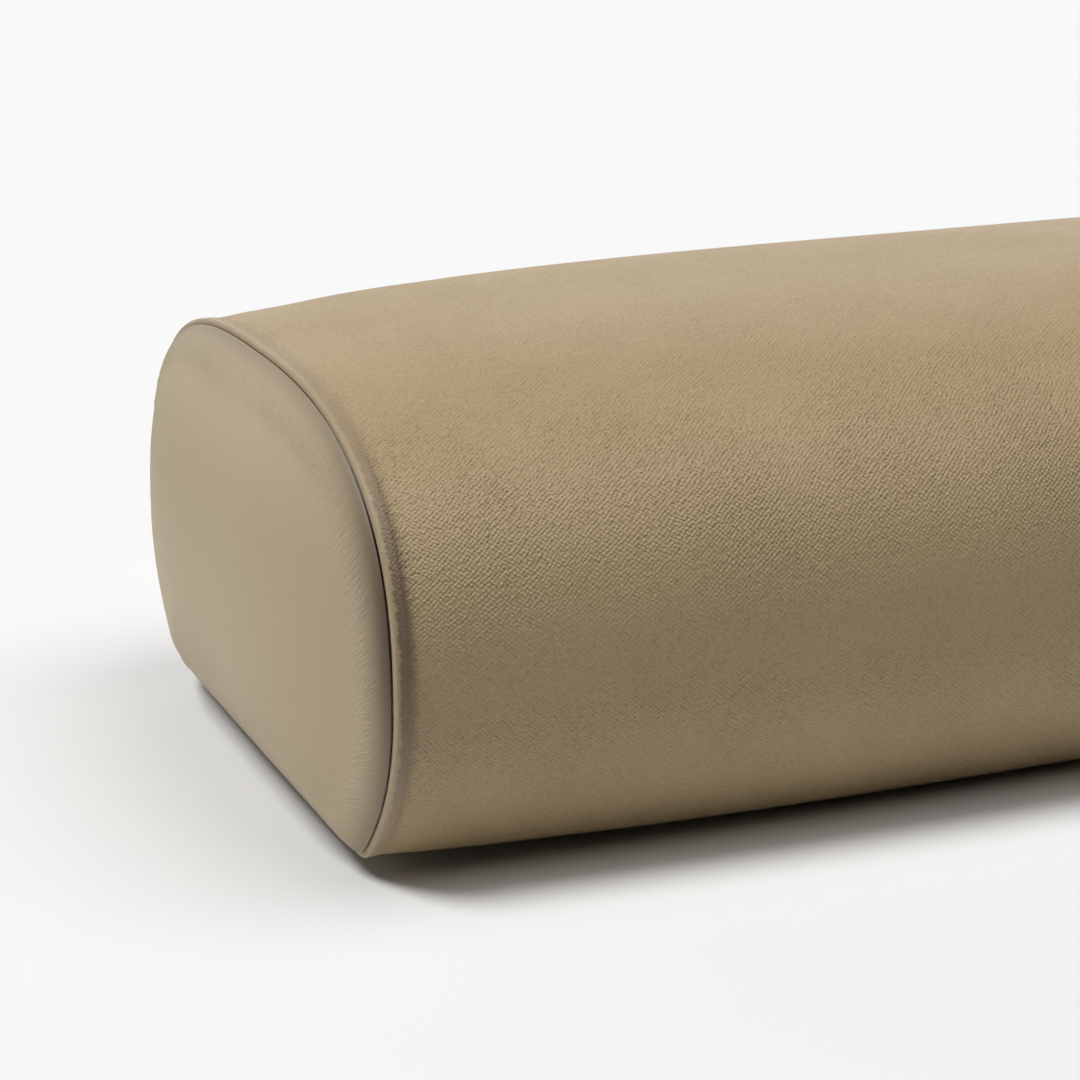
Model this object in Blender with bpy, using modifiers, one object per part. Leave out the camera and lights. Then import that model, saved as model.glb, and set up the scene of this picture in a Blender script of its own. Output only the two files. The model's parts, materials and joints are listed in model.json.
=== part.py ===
"""Bolster pillow: a foam core with fibre padding in a sewn artificial-leather cover that opens with a zip.

Metres, +Z up. X runs along the pillow and the front faces -Y. The origin is the middle of the underside.
"""

import math

import bmesh
import bpy
import numpy as np
from mathutils import Matrix, Vector

# ---- driving dimensions ----
overall_length = 0.660
seam_width = 0.239  # the end panel's outline, where the cover is sewn to it
seam_height = 0.131
waist_height = 0.054  # height in that outline at which it is widest
flank_tuck = 0.0287  # how far the sides draw in below the waist, on each side
shoulder_fullness = 2.75  # 2 is an ellipse, more is squarer
corner_radius = 0.0095

end_bulge = 0.0185  # how far an end panel stands out past its seam
bulge_power = 3.0  # more makes the end panel flatter, with a tighter rim
top_crown = 0.009  # how much fuller the pillow is in the middle than at the end seams
base_crown = 0.007
crown_run = 0.245  # distance from the seam over which it fills out
crown_turn = 0.6  # a skin that faces up or down by more than this share has the whole of its crown
dome_centre = 0.48  # height of the end panel's middle, as a share of the seam's height

cover_thickness = 0.0012
fit_gap = 0.0004  # clearance between pieces that lie on each other
fibre_thickness = 0.006
fibre_zip_gap = 0.002  # from the zip's tape to the edge of the fibre
foam_blend = 0.02  # share of half the way round over which the foam meets the base
end_pad_depth = 0.012  # from an end seam to the flat end of the foam
end_pad_rim = 0.004  # from an end seam to the fullest part of the fibre pad
end_pad_slack = 0.0002
base_seam_inset = 0.024  # from the front bottom corner to the seam under the front

zip_height = 0.024  # height of the zip's middle in the end outline
zip_margin = 0.086  # from an end seam to the end of the zip's window
zip_spread = 0.030  # how far round the pillow the stiff zip keeps the cover straight
window_half = 0.0046  # half the gap between the cover's edges along the zip
window_taper = 0.012
closed_half = 0.0003  # half of that gap where the edges meet
tape_width = 0.013
tape_thickness = 0.0007
tape_split = 0.0006  # from the zip's centre line to a tape's edge
tape_end_gap = 0.0005
tooth_pitch = 0.0040
tooth_width = 0.0016
tooth_reach = 0.0011  # how far a tooth passes the centre line
comb_half = 0.0028
comb_thickness = 0.0017
stop_length = 0.003
stop_rise = 0.0003  # how far a stop stands over the teeth
stop_edge = 0.0003
end_tab_gap = 0.001  # from the end of the window to the tab
end_tab_length = 0.017
end_tab_thickness = 0.0010

slider_length = 0.0095
slider_plate = 0.0012
slider_wall = 0.0008
lug_cap = 0.0004  # the lugs rise this far over the pin
lug_length = 0.0036
lug_wall = 0.0008
lug_root = 0.0003  # how far a lug is sunk into the plate
pin_radius = 0.0006
eye_width = 0.0024
eye_wall = 0.0006
eye_play = 0.0003  # clearance round the pin
eye_overrun = 0.001
pull_length = 0.026
pull_width = 0.0066
pull_thickness = 0.0012
neck_flare = 0.003
neck_gap = 0.0005  # from the slider's end to the flare

label_width = 0.030
label_length = 0.013
label_thickness = 0.0004
label_drop = 0.0008  # from the cover's edge to the label's
label_offset = 0.150  # from the middle of the pillow towards +X

profile_steps = 36  # samples round the whole section
shoulder_samples = 160
flank_samples = 90
corner_samples = 14
base_samples = 60
least_step = 0.003  # two samples round the section are no closer than this share
normal_reach = 0.004  # share of half the way round over which a normal is measured
filling_places = (0.0, 0.006, 0.016, 0.032, 0.055, 0.090, 0.140)  # distances from the seam
filling_run = 0.245  # the crown run that those distances suit
least_place_gap = 0.003
dome_rings = 5
dome_last_ring = 0.86
dome_spacing = 0.8
label_rows = 5
round_end_points = 9
pin_sides = 12
eye_sides = 16
sharp_angle = math.radians(40)
weld_distance = 1e-6

# ---- derived sizes ----
half_width = seam_width / 2
seam_x = overall_length / 2 - end_bulge
lip = cover_thickness + fit_gap  # the cover's outer face stands this far outside the end panel's outline
base_level = base_crown + lip
window_end = seam_x - zip_margin
tab_end = window_end - end_tab_gap
stop_end = tab_end - end_tab_length - fit_gap
comb_end = stop_end - stop_length - fit_gap
zip_run = zip_margin - window_taper  # the zip's tape is stiff, so the cover is straight along it
under_cover = cover_thickness + fit_gap
foam_side_depth = under_cover + fibre_thickness + fit_gap

comb_low = -cover_thickness  # heights along the zip's outward normal, from the cover's outer face
comb_high = comb_low + comb_thickness
plate_low = comb_high + fit_gap
plate_high = plate_low + slider_plate
eye_radius = pin_radius + fit_gap + eye_wall
pin_height = plate_high + fit_gap + eye_radius
lug_top = pin_height + pin_radius + lug_cap
wall_in = comb_half + fit_gap
wall_out = wall_in + slider_wall

colours = {
    "cover": ((0.40, 0.32, 0.21, 1), 0.45, 0.0),
    "foam": ((0.80, 0.74, 0.52, 1), 0.95, 0.0),
    "fibre": ((0.90, 0.90, 0.88, 1), 0.95, 0.0),
    "tape": ((0.32, 0.26, 0.17, 1), 0.85, 0.0),
    "teeth": ((0.30, 0.24, 0.16, 1), 0.40, 0.0),
    "metal": ((0.42, 0.36, 0.27, 1), 0.30, 1.0),
    "label": ((0.86, 0.85, 0.82, 1), 0.70, 0.0),
}


def start_scene():
    """Empty the scene and return the collections for the pieces and for the cutters."""
    for old in list(bpy.data.objects):
        bpy.data.objects.remove(old, do_unlink=True)
    pieces = bpy.data.collections.new("bolster_pillow")
    cutters = bpy.data.collections.new("cutters")
    bpy.context.scene.collection.children.link(pieces)
    bpy.context.scene.collection.children.link(cutters)
    return pieces, cutters


def finish_of(kind):
    """The material of one kind of stuff, made once."""
    if kind in bpy.data.materials:
        return bpy.data.materials[kind]
    colour, roughness, metallic = colours[kind]
    material = bpy.data.materials.new(kind)
    material.use_nodes = True
    shader = material.node_tree.nodes["Principled BSDF"]
    shader.inputs["Base Color"].default_value = colour
    shader.inputs["Roughness"].default_value = roughness
    shader.inputs["Metallic"].default_value = metallic
    return material


# ---- the section, as a closed outline ----
def half_outline():
    """Half of the end outline, from the middle of the top to the middle of the base, as dense points."""
    turn = np.linspace(0, math.pi / 2, shoulder_samples)
    upper_y = half_width * np.sin(turn) ** (2 / shoulder_fullness)
    upper_z = waist_height + (seam_height - waist_height) * np.cos(turn) ** (2 / shoulder_fullness)
    drop = np.linspace(0, 1, flank_samples)[1:]
    lower_y = half_width - flank_tuck * drop**2
    lower_z = waist_height * (1 - drop)
    corner = half_width - flank_tuck
    slope = math.atan2(waist_height, 2 * flank_tuck)  # the flank's rise over its run at the corner
    reach = corner_radius * math.tan(slope / 2)
    kept = np.hypot(lower_y - corner, lower_z) > reach
    flank_end = np.array([lower_y[kept][-1], lower_z[kept][-1]])
    sharp = np.array([corner, 0.0])
    base_start = np.array([corner - reach, 0.0])
    part = np.linspace(0, 1, corner_samples)[1:, None]
    bend = (1 - part) ** 2 * flank_end + 2 * part * (1 - part) * sharp + part**2 * base_start
    base = np.linspace(base_start, np.zeros(2), base_samples)[1:]
    flank = np.column_stack([lower_y[kept], lower_z[kept]])
    return np.concatenate([np.column_stack([upper_y, upper_z]), flank, bend, base])


outline = half_outline()
steps = np.hypot(*np.diff(outline, axis=0).T)
outline_run = np.concatenate([[0], np.cumsum(steps)])
half_perimeter = outline_run[-1]
outline_u = outline_run / half_perimeter


def on_outline(u):
    """Point and outward normal at u: 0 is the middle of the top, 1 of the base, -1 to 0 the front."""
    u = (np.asarray(u, dtype=float) + 1) % 2 - 1
    side = np.where(u < 0, -1.0, 1.0)
    size = np.abs(u)
    point = np.column_stack([np.interp(size, outline_u, outline[:, k]) for k in (0, 1)])
    ahead = np.column_stack([np.interp(size + normal_reach, outline_u, outline[:, k]) for k in (0, 1)])
    behind = np.column_stack([np.interp(size - normal_reach, outline_u, outline[:, k]) for k in (0, 1)])
    along = ahead - behind
    along[size < normal_reach] = (1, 0)
    along[size > 1 - normal_reach] = (-1, 0)
    along /= np.linalg.norm(along, axis=1)[:, None]
    normal = np.column_stack([-along[:, 1], along[:, 0]])
    point[:, 0] *= side
    normal[:, 0] *= side
    return point, normal


flank_part = (outline[:, 1] < waist_height) & (outline[:, 0] > half_width - flank_tuck)
zip_u = float(np.interp(-zip_height, -outline[flank_part][:, 1], outline_u[flank_part]))
corner_u = float(outline_u[np.argmin(np.hypot(outline[:, 0] - half_width + flank_tuck, outline[:, 1]))])
base_seam_u = -(corner_u + base_seam_inset / half_perimeter)
fibre_end_u = zip_u - (tape_width + fibre_zip_gap) / half_perimeter
fibre_front_u = -corner_u + foam_blend


def smooth(value, low, high):
    """0 below low, 1 above high, and an even curve between."""
    share = np.clip((value - low) / (high - low), 0, 1)
    return share * share * (3 - 2 * share)


def fullness(distance, u):
    """How far the cover has filled out, at a distance from the end seam."""
    near_zip = np.exp(-(((np.asarray(u) - zip_u) * half_perimeter / zip_spread) ** 2))
    run = crown_run + (zip_run - crown_run) * near_zip
    rise = 1 - (1 - np.clip(distance / run, 0, 1)) ** 3
    _, normal = on_outline(u)
    amount = base_crown + (top_crown - base_crown) * smooth(normal[:, 1], -crown_turn, crown_turn)
    return amount * rise


def section(x, u, depth):
    """Points of the pillow's surface at x, depth below the cover's outer face."""
    point, normal = on_outline(u)
    out = lip + fullness(seam_x - abs(x), u) - depth
    place = point + normal * np.broadcast_to(out, len(point))[:, None]
    place[:, 1] += base_level
    return np.column_stack([np.full(len(place), x), place])


def stations(end):
    """Places along the pillow: closer together near the ends, where it fills out fastest."""
    runs = np.array(filling_places) * (crown_run / filling_run)
    places = seam_x - np.append(runs, crown_run)
    places = np.append(places, (window_end, window_end + window_taper))
    places = np.append(places[places < end - least_place_gap], end)
    places = np.unique(np.round(places, 6))
    return np.concatenate([-places[::-1], places])


edge_u = [
    -corner_u,
    corner_u,
    base_seam_u,
    fibre_front_u,
    fibre_end_u,
    zip_u,
    zip_u - tape_width / half_perimeter,
    zip_u + tape_width / half_perimeter,
]
shared_u = np.unique(np.round(np.concatenate([np.linspace(-1, 1, profile_steps + 1), edge_u]), 6))


def between(low, high):
    """The shared samples between low and high, with both ends."""
    twice = np.concatenate([shared_u, shared_u[1:] + 2])
    inner = twice[(twice > low + least_step) & (twice < high - least_step)]
    return np.concatenate([[low], inner, [high]])


# ---- makers ----
def new_piece(name, mesh, collection, kind=None):
    piece = bpy.data.objects.new(name, mesh)
    collection.objects.link(piece)
    if kind:
        mesh.materials.append(finish_of(kind))
    return piece


def grid_mesh(rows, closed=False):
    """A skin through rows of points that all have the same count."""
    shape = bmesh.new()
    made = [[shape.verts.new(point) for point in row] for row in rows]
    count = len(made[0])
    for first, second in zip(made, made[1:]):
        for k in range(count if closed else count - 1):
            after = (k + 1) % count
            shape.faces.new((first[k], second[k], second[after], first[after]))
    return shape, made


def finish_mesh(shape, name, smooth_faces=True):
    mesh = bpy.data.meshes.new(name)
    shape.normal_update()
    shape.to_mesh(mesh)
    shape.free()
    if smooth_faces:
        mesh.shade_smooth()
        mesh.set_sharp_from_angle(angle=sharp_angle)
    return mesh


def give_wall(piece, thickness):
    """Thicken an open skin inwards, so that its outer face stays where it is."""
    wall = piece.modifiers.new("wall", "SOLIDIFY")
    wall.thickness = thickness
    wall.offset = -1
    wall.use_even_offset = True


def panel(name, kind, edges, end, depth, thickness, collection):
    """A sewn panel: a skin between two edges, which may change along the pillow, with a wall."""
    places = stations(end)
    spread = between(*edges(0.0))
    rows = []
    for x in places:
        spread[0], spread[-1] = edges(x)
        rows.append(section(x, spread, depth))
    shape, _ = grid_mesh(rows)
    piece = new_piece(name, finish_mesh(shape, name), collection, kind)
    give_wall(piece, thickness)
    return piece


def window(x):
    """Half the gap between the cover's edges along the zip, at x."""
    shut = float(smooth(abs(x), window_end, window_end + window_taper))
    return (window_half + (closed_half - window_half) * shut) / half_perimeter


def cover_panels(pieces):
    seam_gap = fit_gap / 2 / half_perimeter
    panel(
        "cover_wrap",
        "cover",
        lambda x: (base_seam_u + seam_gap, zip_u - window(x)),
        seam_x,
        0,
        cover_thickness,
        pieces,
    )
    # The base panel runs from the zip, round the back bottom corner and under the pillow.
    panel(
        "cover_base",
        "cover",
        lambda x: (zip_u + window(x), 2 + base_seam_u - seam_gap),
        seam_x,
        0,
        cover_thickness,
        pieces,
    )


def dome(side, inset, height, first_x, rings):
    """Rings of an end panel's bulge, from its rim to near its middle."""
    u = shared_u[:-1]
    point, normal = on_outline(u)
    rim = point - normal * inset
    rim[:, 1] += base_level
    middle = np.array([0.0, base_level + seam_height * dome_centre])
    rows = []
    for share in np.linspace(0, dome_last_ring, rings) ** dome_spacing:
        spot = middle + (rim - middle) * (1 - share)
        x = first_x + height * (1 - (1 - share) ** bulge_power)
        rows.append(np.column_stack([np.full(len(spot), side * x), spot]))
    tip = (side * (first_x + height), *middle)
    return rows, tip


def close_with(shape, ring, tip):
    """Fill a ring with a fan of triangles to its tip."""
    top = shape.verts.new(tip)
    for k, vert in enumerate(ring):
        shape.faces.new((vert, ring[(k + 1) % len(ring)], top))


def face_outwards(shape, side):
    """Turn the skin so that its faces look away from the pillow's middle."""
    bmesh.ops.recalc_face_normals(shape, faces=shape.faces)
    shape.normal_update()
    if sum(face.normal.x for face in shape.faces) * side < 0:
        bmesh.ops.reverse_faces(shape, faces=shape.faces)


def end_panel(name, side, pieces):
    rows, tip = dome(side, 0, end_bulge, seam_x, dome_rings + 1)
    shape, made = grid_mesh(rows, closed=True)
    close_with(shape, made[-1], tip)
    face_outwards(shape, side)
    piece = new_piece(name, finish_mesh(shape, name), pieces, "cover")
    give_wall(piece, cover_thickness)


def end_pad(name, side, pieces):
    """Loose fibre between the foam's flat end and the end panel."""
    u = shared_u[:-1]
    inner_x = seam_x - end_pad_depth + fit_gap
    depth = under_cover + fit_gap
    inner = section(side * inner_x, u, depth)
    rim = section(side * (seam_x - end_pad_rim), u, depth)
    rows, tip = dome(side, cover_thickness, end_bulge, seam_x - under_cover - end_pad_slack, dome_rings)
    shape, made = grid_mesh([inner, rim, *rows], closed=True)
    close_with(shape, made[-1], tip)
    close_with(shape, made[0], (side * inner_x, 0, base_level + seam_height / 2))
    bmesh.ops.recalc_face_normals(shape, faces=shape.faces)
    new_piece(name, finish_mesh(shape, name), pieces, "fibre")


def foam_depth(u):
    """The foam's depth: a fibre layer over it on the top and sides, none below."""
    below = smooth(np.abs(u), corner_u - foam_blend, corner_u + foam_blend)
    return foam_side_depth + (under_cover - foam_side_depth) * below


def foam_core(pieces):
    u = shared_u[:-1]
    places = stations(seam_x - end_pad_depth)
    rows = [section(x, u, foam_depth(u)) for x in places]
    shape, made = grid_mesh(rows, closed=True)
    shape.faces.new(made[0])
    shape.faces.new(made[-1])
    bmesh.ops.recalc_face_normals(shape, faces=shape.faces)
    new_piece("foam_core", finish_mesh(shape, "foam_core"), pieces, "foam")


def fibre_wrap(pieces):
    panel(
        "fibre_wrap",
        "fibre",
        lambda x: (fibre_front_u, fibre_end_u),
        seam_x - end_pad_depth,
        under_cover,
        fibre_thickness,
        pieces,
    )


# ---- the zip, built flat and then set into the back ----
def zip_frame():
    """Matrix from the zip's own frame (x along it, y down the flank, z outwards) to the pillow."""
    _, normal = on_outline([zip_u])
    outwards = Vector((0, normal[0, 0], normal[0, 1]))
    place = Vector(section(0.0, [zip_u], 0.0)[0])
    along = Vector((1, 0, 0))
    across = outwards.cross(along)
    axes = Matrix((along, across, outwards)).transposed()
    return Matrix.Translation(place) @ axes.to_4x4()


def block(name, low, high):
    """A plain box between two corners, as a mesh."""
    shape = bmesh.new()
    size = Vector(high) - Vector(low)
    middle = (Vector(high) + Vector(low)) / 2
    bmesh.ops.create_cube(shape, size=1, matrix=Matrix.Translation(middle) @ Matrix.Diagonal((*size, 1)))
    return finish_mesh(shape, name, smooth_faces=False)


def rod(name, radius, start, end, sides):
    """A round bar between two points, as a mesh."""
    start = Vector(start)
    run = Vector(end) - start
    turn = run.to_track_quat("Z", "Y").to_matrix().to_4x4()
    shape = bmesh.new()
    bmesh.ops.create_cone(
        shape,
        cap_ends=True,
        segments=sides,
        radius1=radius,
        radius2=radius,
        depth=run.length,
        matrix=Matrix.Translation(start + run / 2) @ turn,
    )
    return finish_mesh(shape, name, smooth_faces=False)


def flat_piece(name, points, low, high, collection, kind):
    """A flat outline with a thickness, from low to high along z."""
    curve = bpy.data.curves.new(name, "CURVE")
    curve.dimensions = "2D"
    curve.fill_mode = "BOTH"
    curve.extrude = (high - low) / 2
    line = curve.splines.new("POLY")
    line.points.add(len(points) - 1)
    for spot, (x, y) in zip(line.points, points):
        spot.co = (x, y, 0, 1)
    line.use_cyclic_u = True
    outline_object = bpy.data.objects.new(name + "_outline", curve)
    bpy.context.scene.collection.objects.link(outline_object)
    bpy.context.view_layer.update()
    evaluated = outline_object.evaluated_get(bpy.context.evaluated_depsgraph_get())
    mesh = bpy.data.meshes.new_from_object(evaluated)
    shape = bmesh.new()
    shape.from_mesh(mesh)
    bmesh.ops.remove_doubles(shape, verts=shape.verts, dist=weld_distance)
    bmesh.ops.recalc_face_normals(shape, faces=shape.faces)
    bmesh.ops.translate(shape, verts=shape.verts, vec=(0, 0, (high + low) / 2))
    shape.to_mesh(mesh)
    shape.free()
    bpy.data.objects.remove(outline_object)
    mesh.materials.clear()
    return new_piece(name, mesh, collection, kind)


def join_to(piece, mesh, collection):
    """Unite another mesh with a piece, by a Boolean."""
    helper = new_piece(piece.name + "_add", mesh, collection)
    helper.hide_render = True
    helper.display_type = "WIRE"
    helper.parent = piece
    union = piece.modifiers.new("join", "BOOLEAN")
    union.operation = "UNION"
    union.solver = "EXACT"
    union.object = helper


def cut_from(piece, mesh, collection):
    helper = new_piece(piece.name + "_cut", mesh, collection)
    helper.hide_render = True
    helper.display_type = "WIRE"
    helper.parent = piece
    cut = piece.modifiers.new("cut", "BOOLEAN")
    cut.operation = "DIFFERENCE"
    cut.solver = "EXACT"
    cut.object = helper


def soften(piece, width):
    edge = piece.modifiers.new("edge", "BEVEL")
    edge.width = width
    edge.segments = 1
    edge.limit_method = "ANGLE"
    edge.angle_limit = sharp_angle


def comb_outline(side, offset):
    """One row of teeth on its strip: side is -1 for the upper row and 1 for the lower one."""
    count = int((2 * comb_end - 2 * tooth_pitch) / tooth_pitch)
    first = -(count - 1) * tooth_pitch / 2 + offset
    back = side * comb_half
    root = side * (tooth_reach + fit_gap)
    tip = -side * tooth_reach
    points = [(-comb_end, back), (-comb_end, root)]
    for k in range(count):
        middle = first + k * tooth_pitch
        points += [
            (middle - tooth_width / 2, root),
            (middle - tooth_width / 2, tip),
            (middle + tooth_width / 2, tip),
            (middle + tooth_width / 2, root),
        ]
    return [*points, (comb_end, root), (comb_end, back)]


def zip_tape(name, side, pieces):
    """One woven tape, under the cover's edge and up to the teeth."""
    near = side * tape_split / half_perimeter
    far = side * tape_width / half_perimeter
    panel(
        name,
        "tape",
        lambda x: (zip_u + min(near, far), zip_u + max(near, far)),
        window_end - tape_end_gap,
        under_cover,
        tape_thickness,
        pieces,
    )


def place_all(made, frame):
    for piece in made:
        piece.matrix_world = frame @ piece.matrix_world


def zip_chain(pieces, frame):
    upper_outline = comb_outline(-1, -tooth_pitch / 4)
    lower_outline = comb_outline(1, tooth_pitch / 4)
    upper = flat_piece("zip_teeth_upper", upper_outline, comb_low, comb_high, pieces, "teeth")
    lower = flat_piece("zip_teeth_lower", lower_outline, comb_low, comb_high, pieces, "teeth")
    stop_high = comb_high + stop_rise
    start = comb_end + fit_gap
    rows = [upper, lower]
    for name, side in (("zip_top_stop_upper", -1), ("zip_top_stop_lower", 1)):
        sides = sorted((side * fit_gap, side * comb_half))
        mesh = block(name, (start, sides[0], comb_low), (start + stop_length, sides[1], stop_high))
        stop = new_piece(name, mesh, pieces, "metal")
        soften(stop, stop_edge)
        rows.append(stop)
    mesh = block(
        "zip_bottom_stop",
        (-start - stop_length, -comb_half, comb_low),
        (-start, comb_half, stop_high),
    )
    stop = new_piece("zip_bottom_stop", mesh, pieces, "metal")
    soften(stop, stop_edge)
    rows.append(stop)
    reach = window_half - fit_gap
    for name, side in (("zip_end_tab_left", -1), ("zip_end_tab_right", 1)):
        ends = sorted((side * (tab_end - end_tab_length), side * tab_end))
        mesh = block(name, (ends[0], -reach, comb_low), (ends[1], reach, comb_low + end_tab_thickness))
        rows.append(new_piece(name, mesh, pieces, "tape"))
    place_all(rows, frame)


def slider_outline():
    """The channel that straddles the teeth, seen along the zip."""
    return [
        (-wall_out, comb_low),
        (-wall_out, plate_high),
        (wall_out, plate_high),
        (wall_out, comb_low),
        (wall_in, comb_low),
        (wall_in, plate_low),
        (-wall_in, plate_low),
        (-wall_in, comb_low),
    ]


def zip_slider(pieces, cutters, frame):
    """The slider at the closed end of the zip. Its origin is on its own middle."""
    half_length = slider_length / 2
    slider = flat_piece("zip_slider", slider_outline(), -half_length, half_length, pieces, "metal")
    stand = Matrix(((0, 0, 1, 0), (1, 0, 0, 0), (0, 1, 0, 0), (0, 0, 0, 1)))
    slider.data.transform(stand)
    lug_in = eye_width / 2 + fit_gap
    lug_out = lug_in + lug_wall
    for side in (-1, 1):
        sides = sorted((side * lug_in, side * lug_out))
        mesh = block(
            "lug",
            (-lug_length / 2, sides[0], plate_high - lug_root),
            (lug_length / 2, sides[1], lug_top),
        )
        join_to(slider, mesh, cutters)
    reach = lug_in + lug_wall / 2
    pin = rod("pin", pin_radius, (0, -reach, pin_height), (0, reach, pin_height), pin_sides)
    join_to(slider, pin, cutters)
    slider.matrix_world = frame @ Matrix.Translation((slider_rest_x(), 0, 0))


def slider_rest_x():
    """The slider's middle with the zip closed: its nose one gap short of the top stops."""
    return comb_end - slider_length / 2


def pull_outline():
    """The tab's outline from its eye: a narrow neck, and a paddle with a round end."""
    half_eye = eye_width / 2
    half_pull = pull_width / 2
    neck = slider_length / 2 + neck_gap
    turn = np.linspace(math.pi / 2, -math.pi / 2, round_end_points)
    end = [(pull_length - half_pull + half_pull * math.cos(a), half_pull * math.sin(a)) for a in turn]
    upper = [(0, half_eye), (neck, half_eye), (neck + neck_flare, half_pull)]
    return [*upper, *end, (neck + neck_flare, -half_pull), (neck, -half_eye), (0, -half_eye)]


def zip_pull(pieces, cutters, frame):
    """The pull tab, flat over the teeth. Its origin is on the slider's pin."""
    half = pull_thickness / 2
    pull = flat_piece("zip_pull", pull_outline(), -half, half, pieces, "metal")
    width = eye_width / 2
    collar = rod("collar", eye_radius, (0, -width, 0), (0, width, 0), eye_sides)
    join_to(pull, collar, cutters)
    reach = width + eye_overrun
    eye = rod("eye", pin_radius + eye_play, (0, -reach, 0), (0, reach, 0), pin_sides)
    cut_from(pull, eye, cutters)
    half_turn = Matrix.Rotation(math.pi, 4, "Z")
    pull.matrix_world = frame @ Matrix.Translation((slider_rest_x(), 0, pin_height)) @ half_turn


def care_label(pieces):
    """A blank woven label, caught in the zip's lower seam and lying on the base panel's flank."""
    start = zip_u + (window_half + label_drop) / half_perimeter
    u = np.linspace(start, start + label_length / half_perimeter, label_rows)
    ends = label_offset + np.array([-0.5, 0.5]) * label_width
    rows = [section(x, u, -fit_gap - label_thickness) for x in ends]
    shape, _ = grid_mesh(rows)
    label = new_piece("care_label", finish_mesh(shape, "care_label"), pieces, "label")
    give_wall(label, label_thickness)


def main():
    pieces, cutters = start_scene()
    frame = zip_frame()
    foam_core(pieces)
    fibre_wrap(pieces)
    for name, side in (("left", -1), ("right", 1)):
        end_pad("fibre_end_" + name, side, pieces)
        end_panel("cover_end_" + name, side, pieces)
    cover_panels(pieces)
    zip_tape("zip_tape_upper", -1, pieces)
    zip_tape("zip_tape_lower", 1, pieces)
    zip_chain(pieces, frame)
    zip_slider(pieces, cutters, frame)
    zip_pull(pieces, cutters, frame)
    care_label(pieces)


main()
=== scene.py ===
import json
import math
import bpy
import bmesh
import numpy as np
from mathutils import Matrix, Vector


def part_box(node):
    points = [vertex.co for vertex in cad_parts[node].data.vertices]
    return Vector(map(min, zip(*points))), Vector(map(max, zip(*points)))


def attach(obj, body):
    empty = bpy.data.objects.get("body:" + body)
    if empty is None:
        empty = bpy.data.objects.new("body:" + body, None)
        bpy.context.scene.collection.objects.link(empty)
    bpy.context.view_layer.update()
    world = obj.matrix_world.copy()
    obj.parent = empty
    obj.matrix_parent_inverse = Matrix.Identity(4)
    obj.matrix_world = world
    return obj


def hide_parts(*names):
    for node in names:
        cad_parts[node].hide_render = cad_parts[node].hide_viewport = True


# Bolster pillow: a soft cover over foam, closed by a zip along the back. Metres, Z up, the front faces -Y.
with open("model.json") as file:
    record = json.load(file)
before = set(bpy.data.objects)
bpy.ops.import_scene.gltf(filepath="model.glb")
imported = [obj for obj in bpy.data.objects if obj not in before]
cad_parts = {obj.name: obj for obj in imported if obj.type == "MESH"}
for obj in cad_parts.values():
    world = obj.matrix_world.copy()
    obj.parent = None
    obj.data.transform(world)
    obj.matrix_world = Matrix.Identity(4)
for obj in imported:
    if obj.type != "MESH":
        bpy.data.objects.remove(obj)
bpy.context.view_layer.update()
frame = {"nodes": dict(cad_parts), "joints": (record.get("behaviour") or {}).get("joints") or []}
print("frame loaded")

# the pillow's shape
cushion = {
    "waistHeight": 0.054,  # where the side is widest, above the end outline's base
    "flankTuck": 0.0287,  # how far the sides draw in below that
    "shoulderFullness": 2.75,  # 2 is an ellipse, more is squarer
    "cornerRadius": 0.0095,
    "outlineEasing": 0.0020,  # evens out the outline where its curves meet
    "topCrown": 0.009,  # fullness in the middle of the length
    "baseCrown": 0.007,
    "crownRun": 0.245,
    "zipRun": 0.074,
    "zipSpread": 0.030,
    "lip": 0.0016,
    "bulgePower": 2.8,
    "endPlump": 0.0012,
    "domeMiddle": 0.48,
    "wall": 0.0009,
    "seamGap": 0.0002,
    "baseSeamInset": 0.024,
    "zipHeight": 0.024,
    "floorGap": 0.00002,
}
# how the cover is drawn in at the end seams
seam = {
    "noseHeight": 0.0003,
    "noseRound": 0.0008,
    "grooveDepth": 0.0018,
    "bandHeight": 0.0010,
    "step": (0.0034, 0.0060),
    "stepLeast": 0.45,
    "dip": 0.0006,
    "dipEnd": 0.018,
    "rollHeight": 0.0009,
    "rollRun": 0.0055,
    "rollFade": (0.003, 0.015),
    "rimInset": 0.0003,
    "puckerHeight": 0.00012,
    "noseWidth": 0.0012,
    "deepest": (0.44, 0.15),  # where round the side the step is deepest, and over how far
    "baseEase": (0.60, 0.72),
    "baseLess": 0.4,
    "puckerWaves": (0.0013, 0.0071, 0.0037),
    "puckerPlace": (0.0062, 0.0030),
}
# a hem: how an edge of the cover is folded
hem = {"round": 0.0008, "drop": 0.0013, "grooveRound": 0.0012, "grooveDrop": 0.0016}

# how finely the outline is worked out, and over how many points it is evened out
outline = {
    "shoulder": 400,
    "flank": 200,
    "corner": 40,
    "base": 100,
    "loop": 2400,
    "easedOver": 60,
    "normalReach": 4,
}

endLow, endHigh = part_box("cover_end_right")
_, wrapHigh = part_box("cover_wrap")
halfWidth = endHigh.y
seamHeight = endHigh.z - endLow.z
baseLevel = endLow.z
seamX = wrapHigh.x
endBulge = endHigh.x - seamX + cushion["endPlump"]


def smooth(value, low, high):
    # 0 below low, 1 above high, 3s^2 - 2s^3 between
    share = np.clip((value - low) / (high - low), 0, 1)
    return share * share * (3 - 2 * share)


def bell(value, middle, width):
    # exp(-((value - middle) / width)^2)
    return np.exp(-(((value - middle) / width) ** 2))


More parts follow.
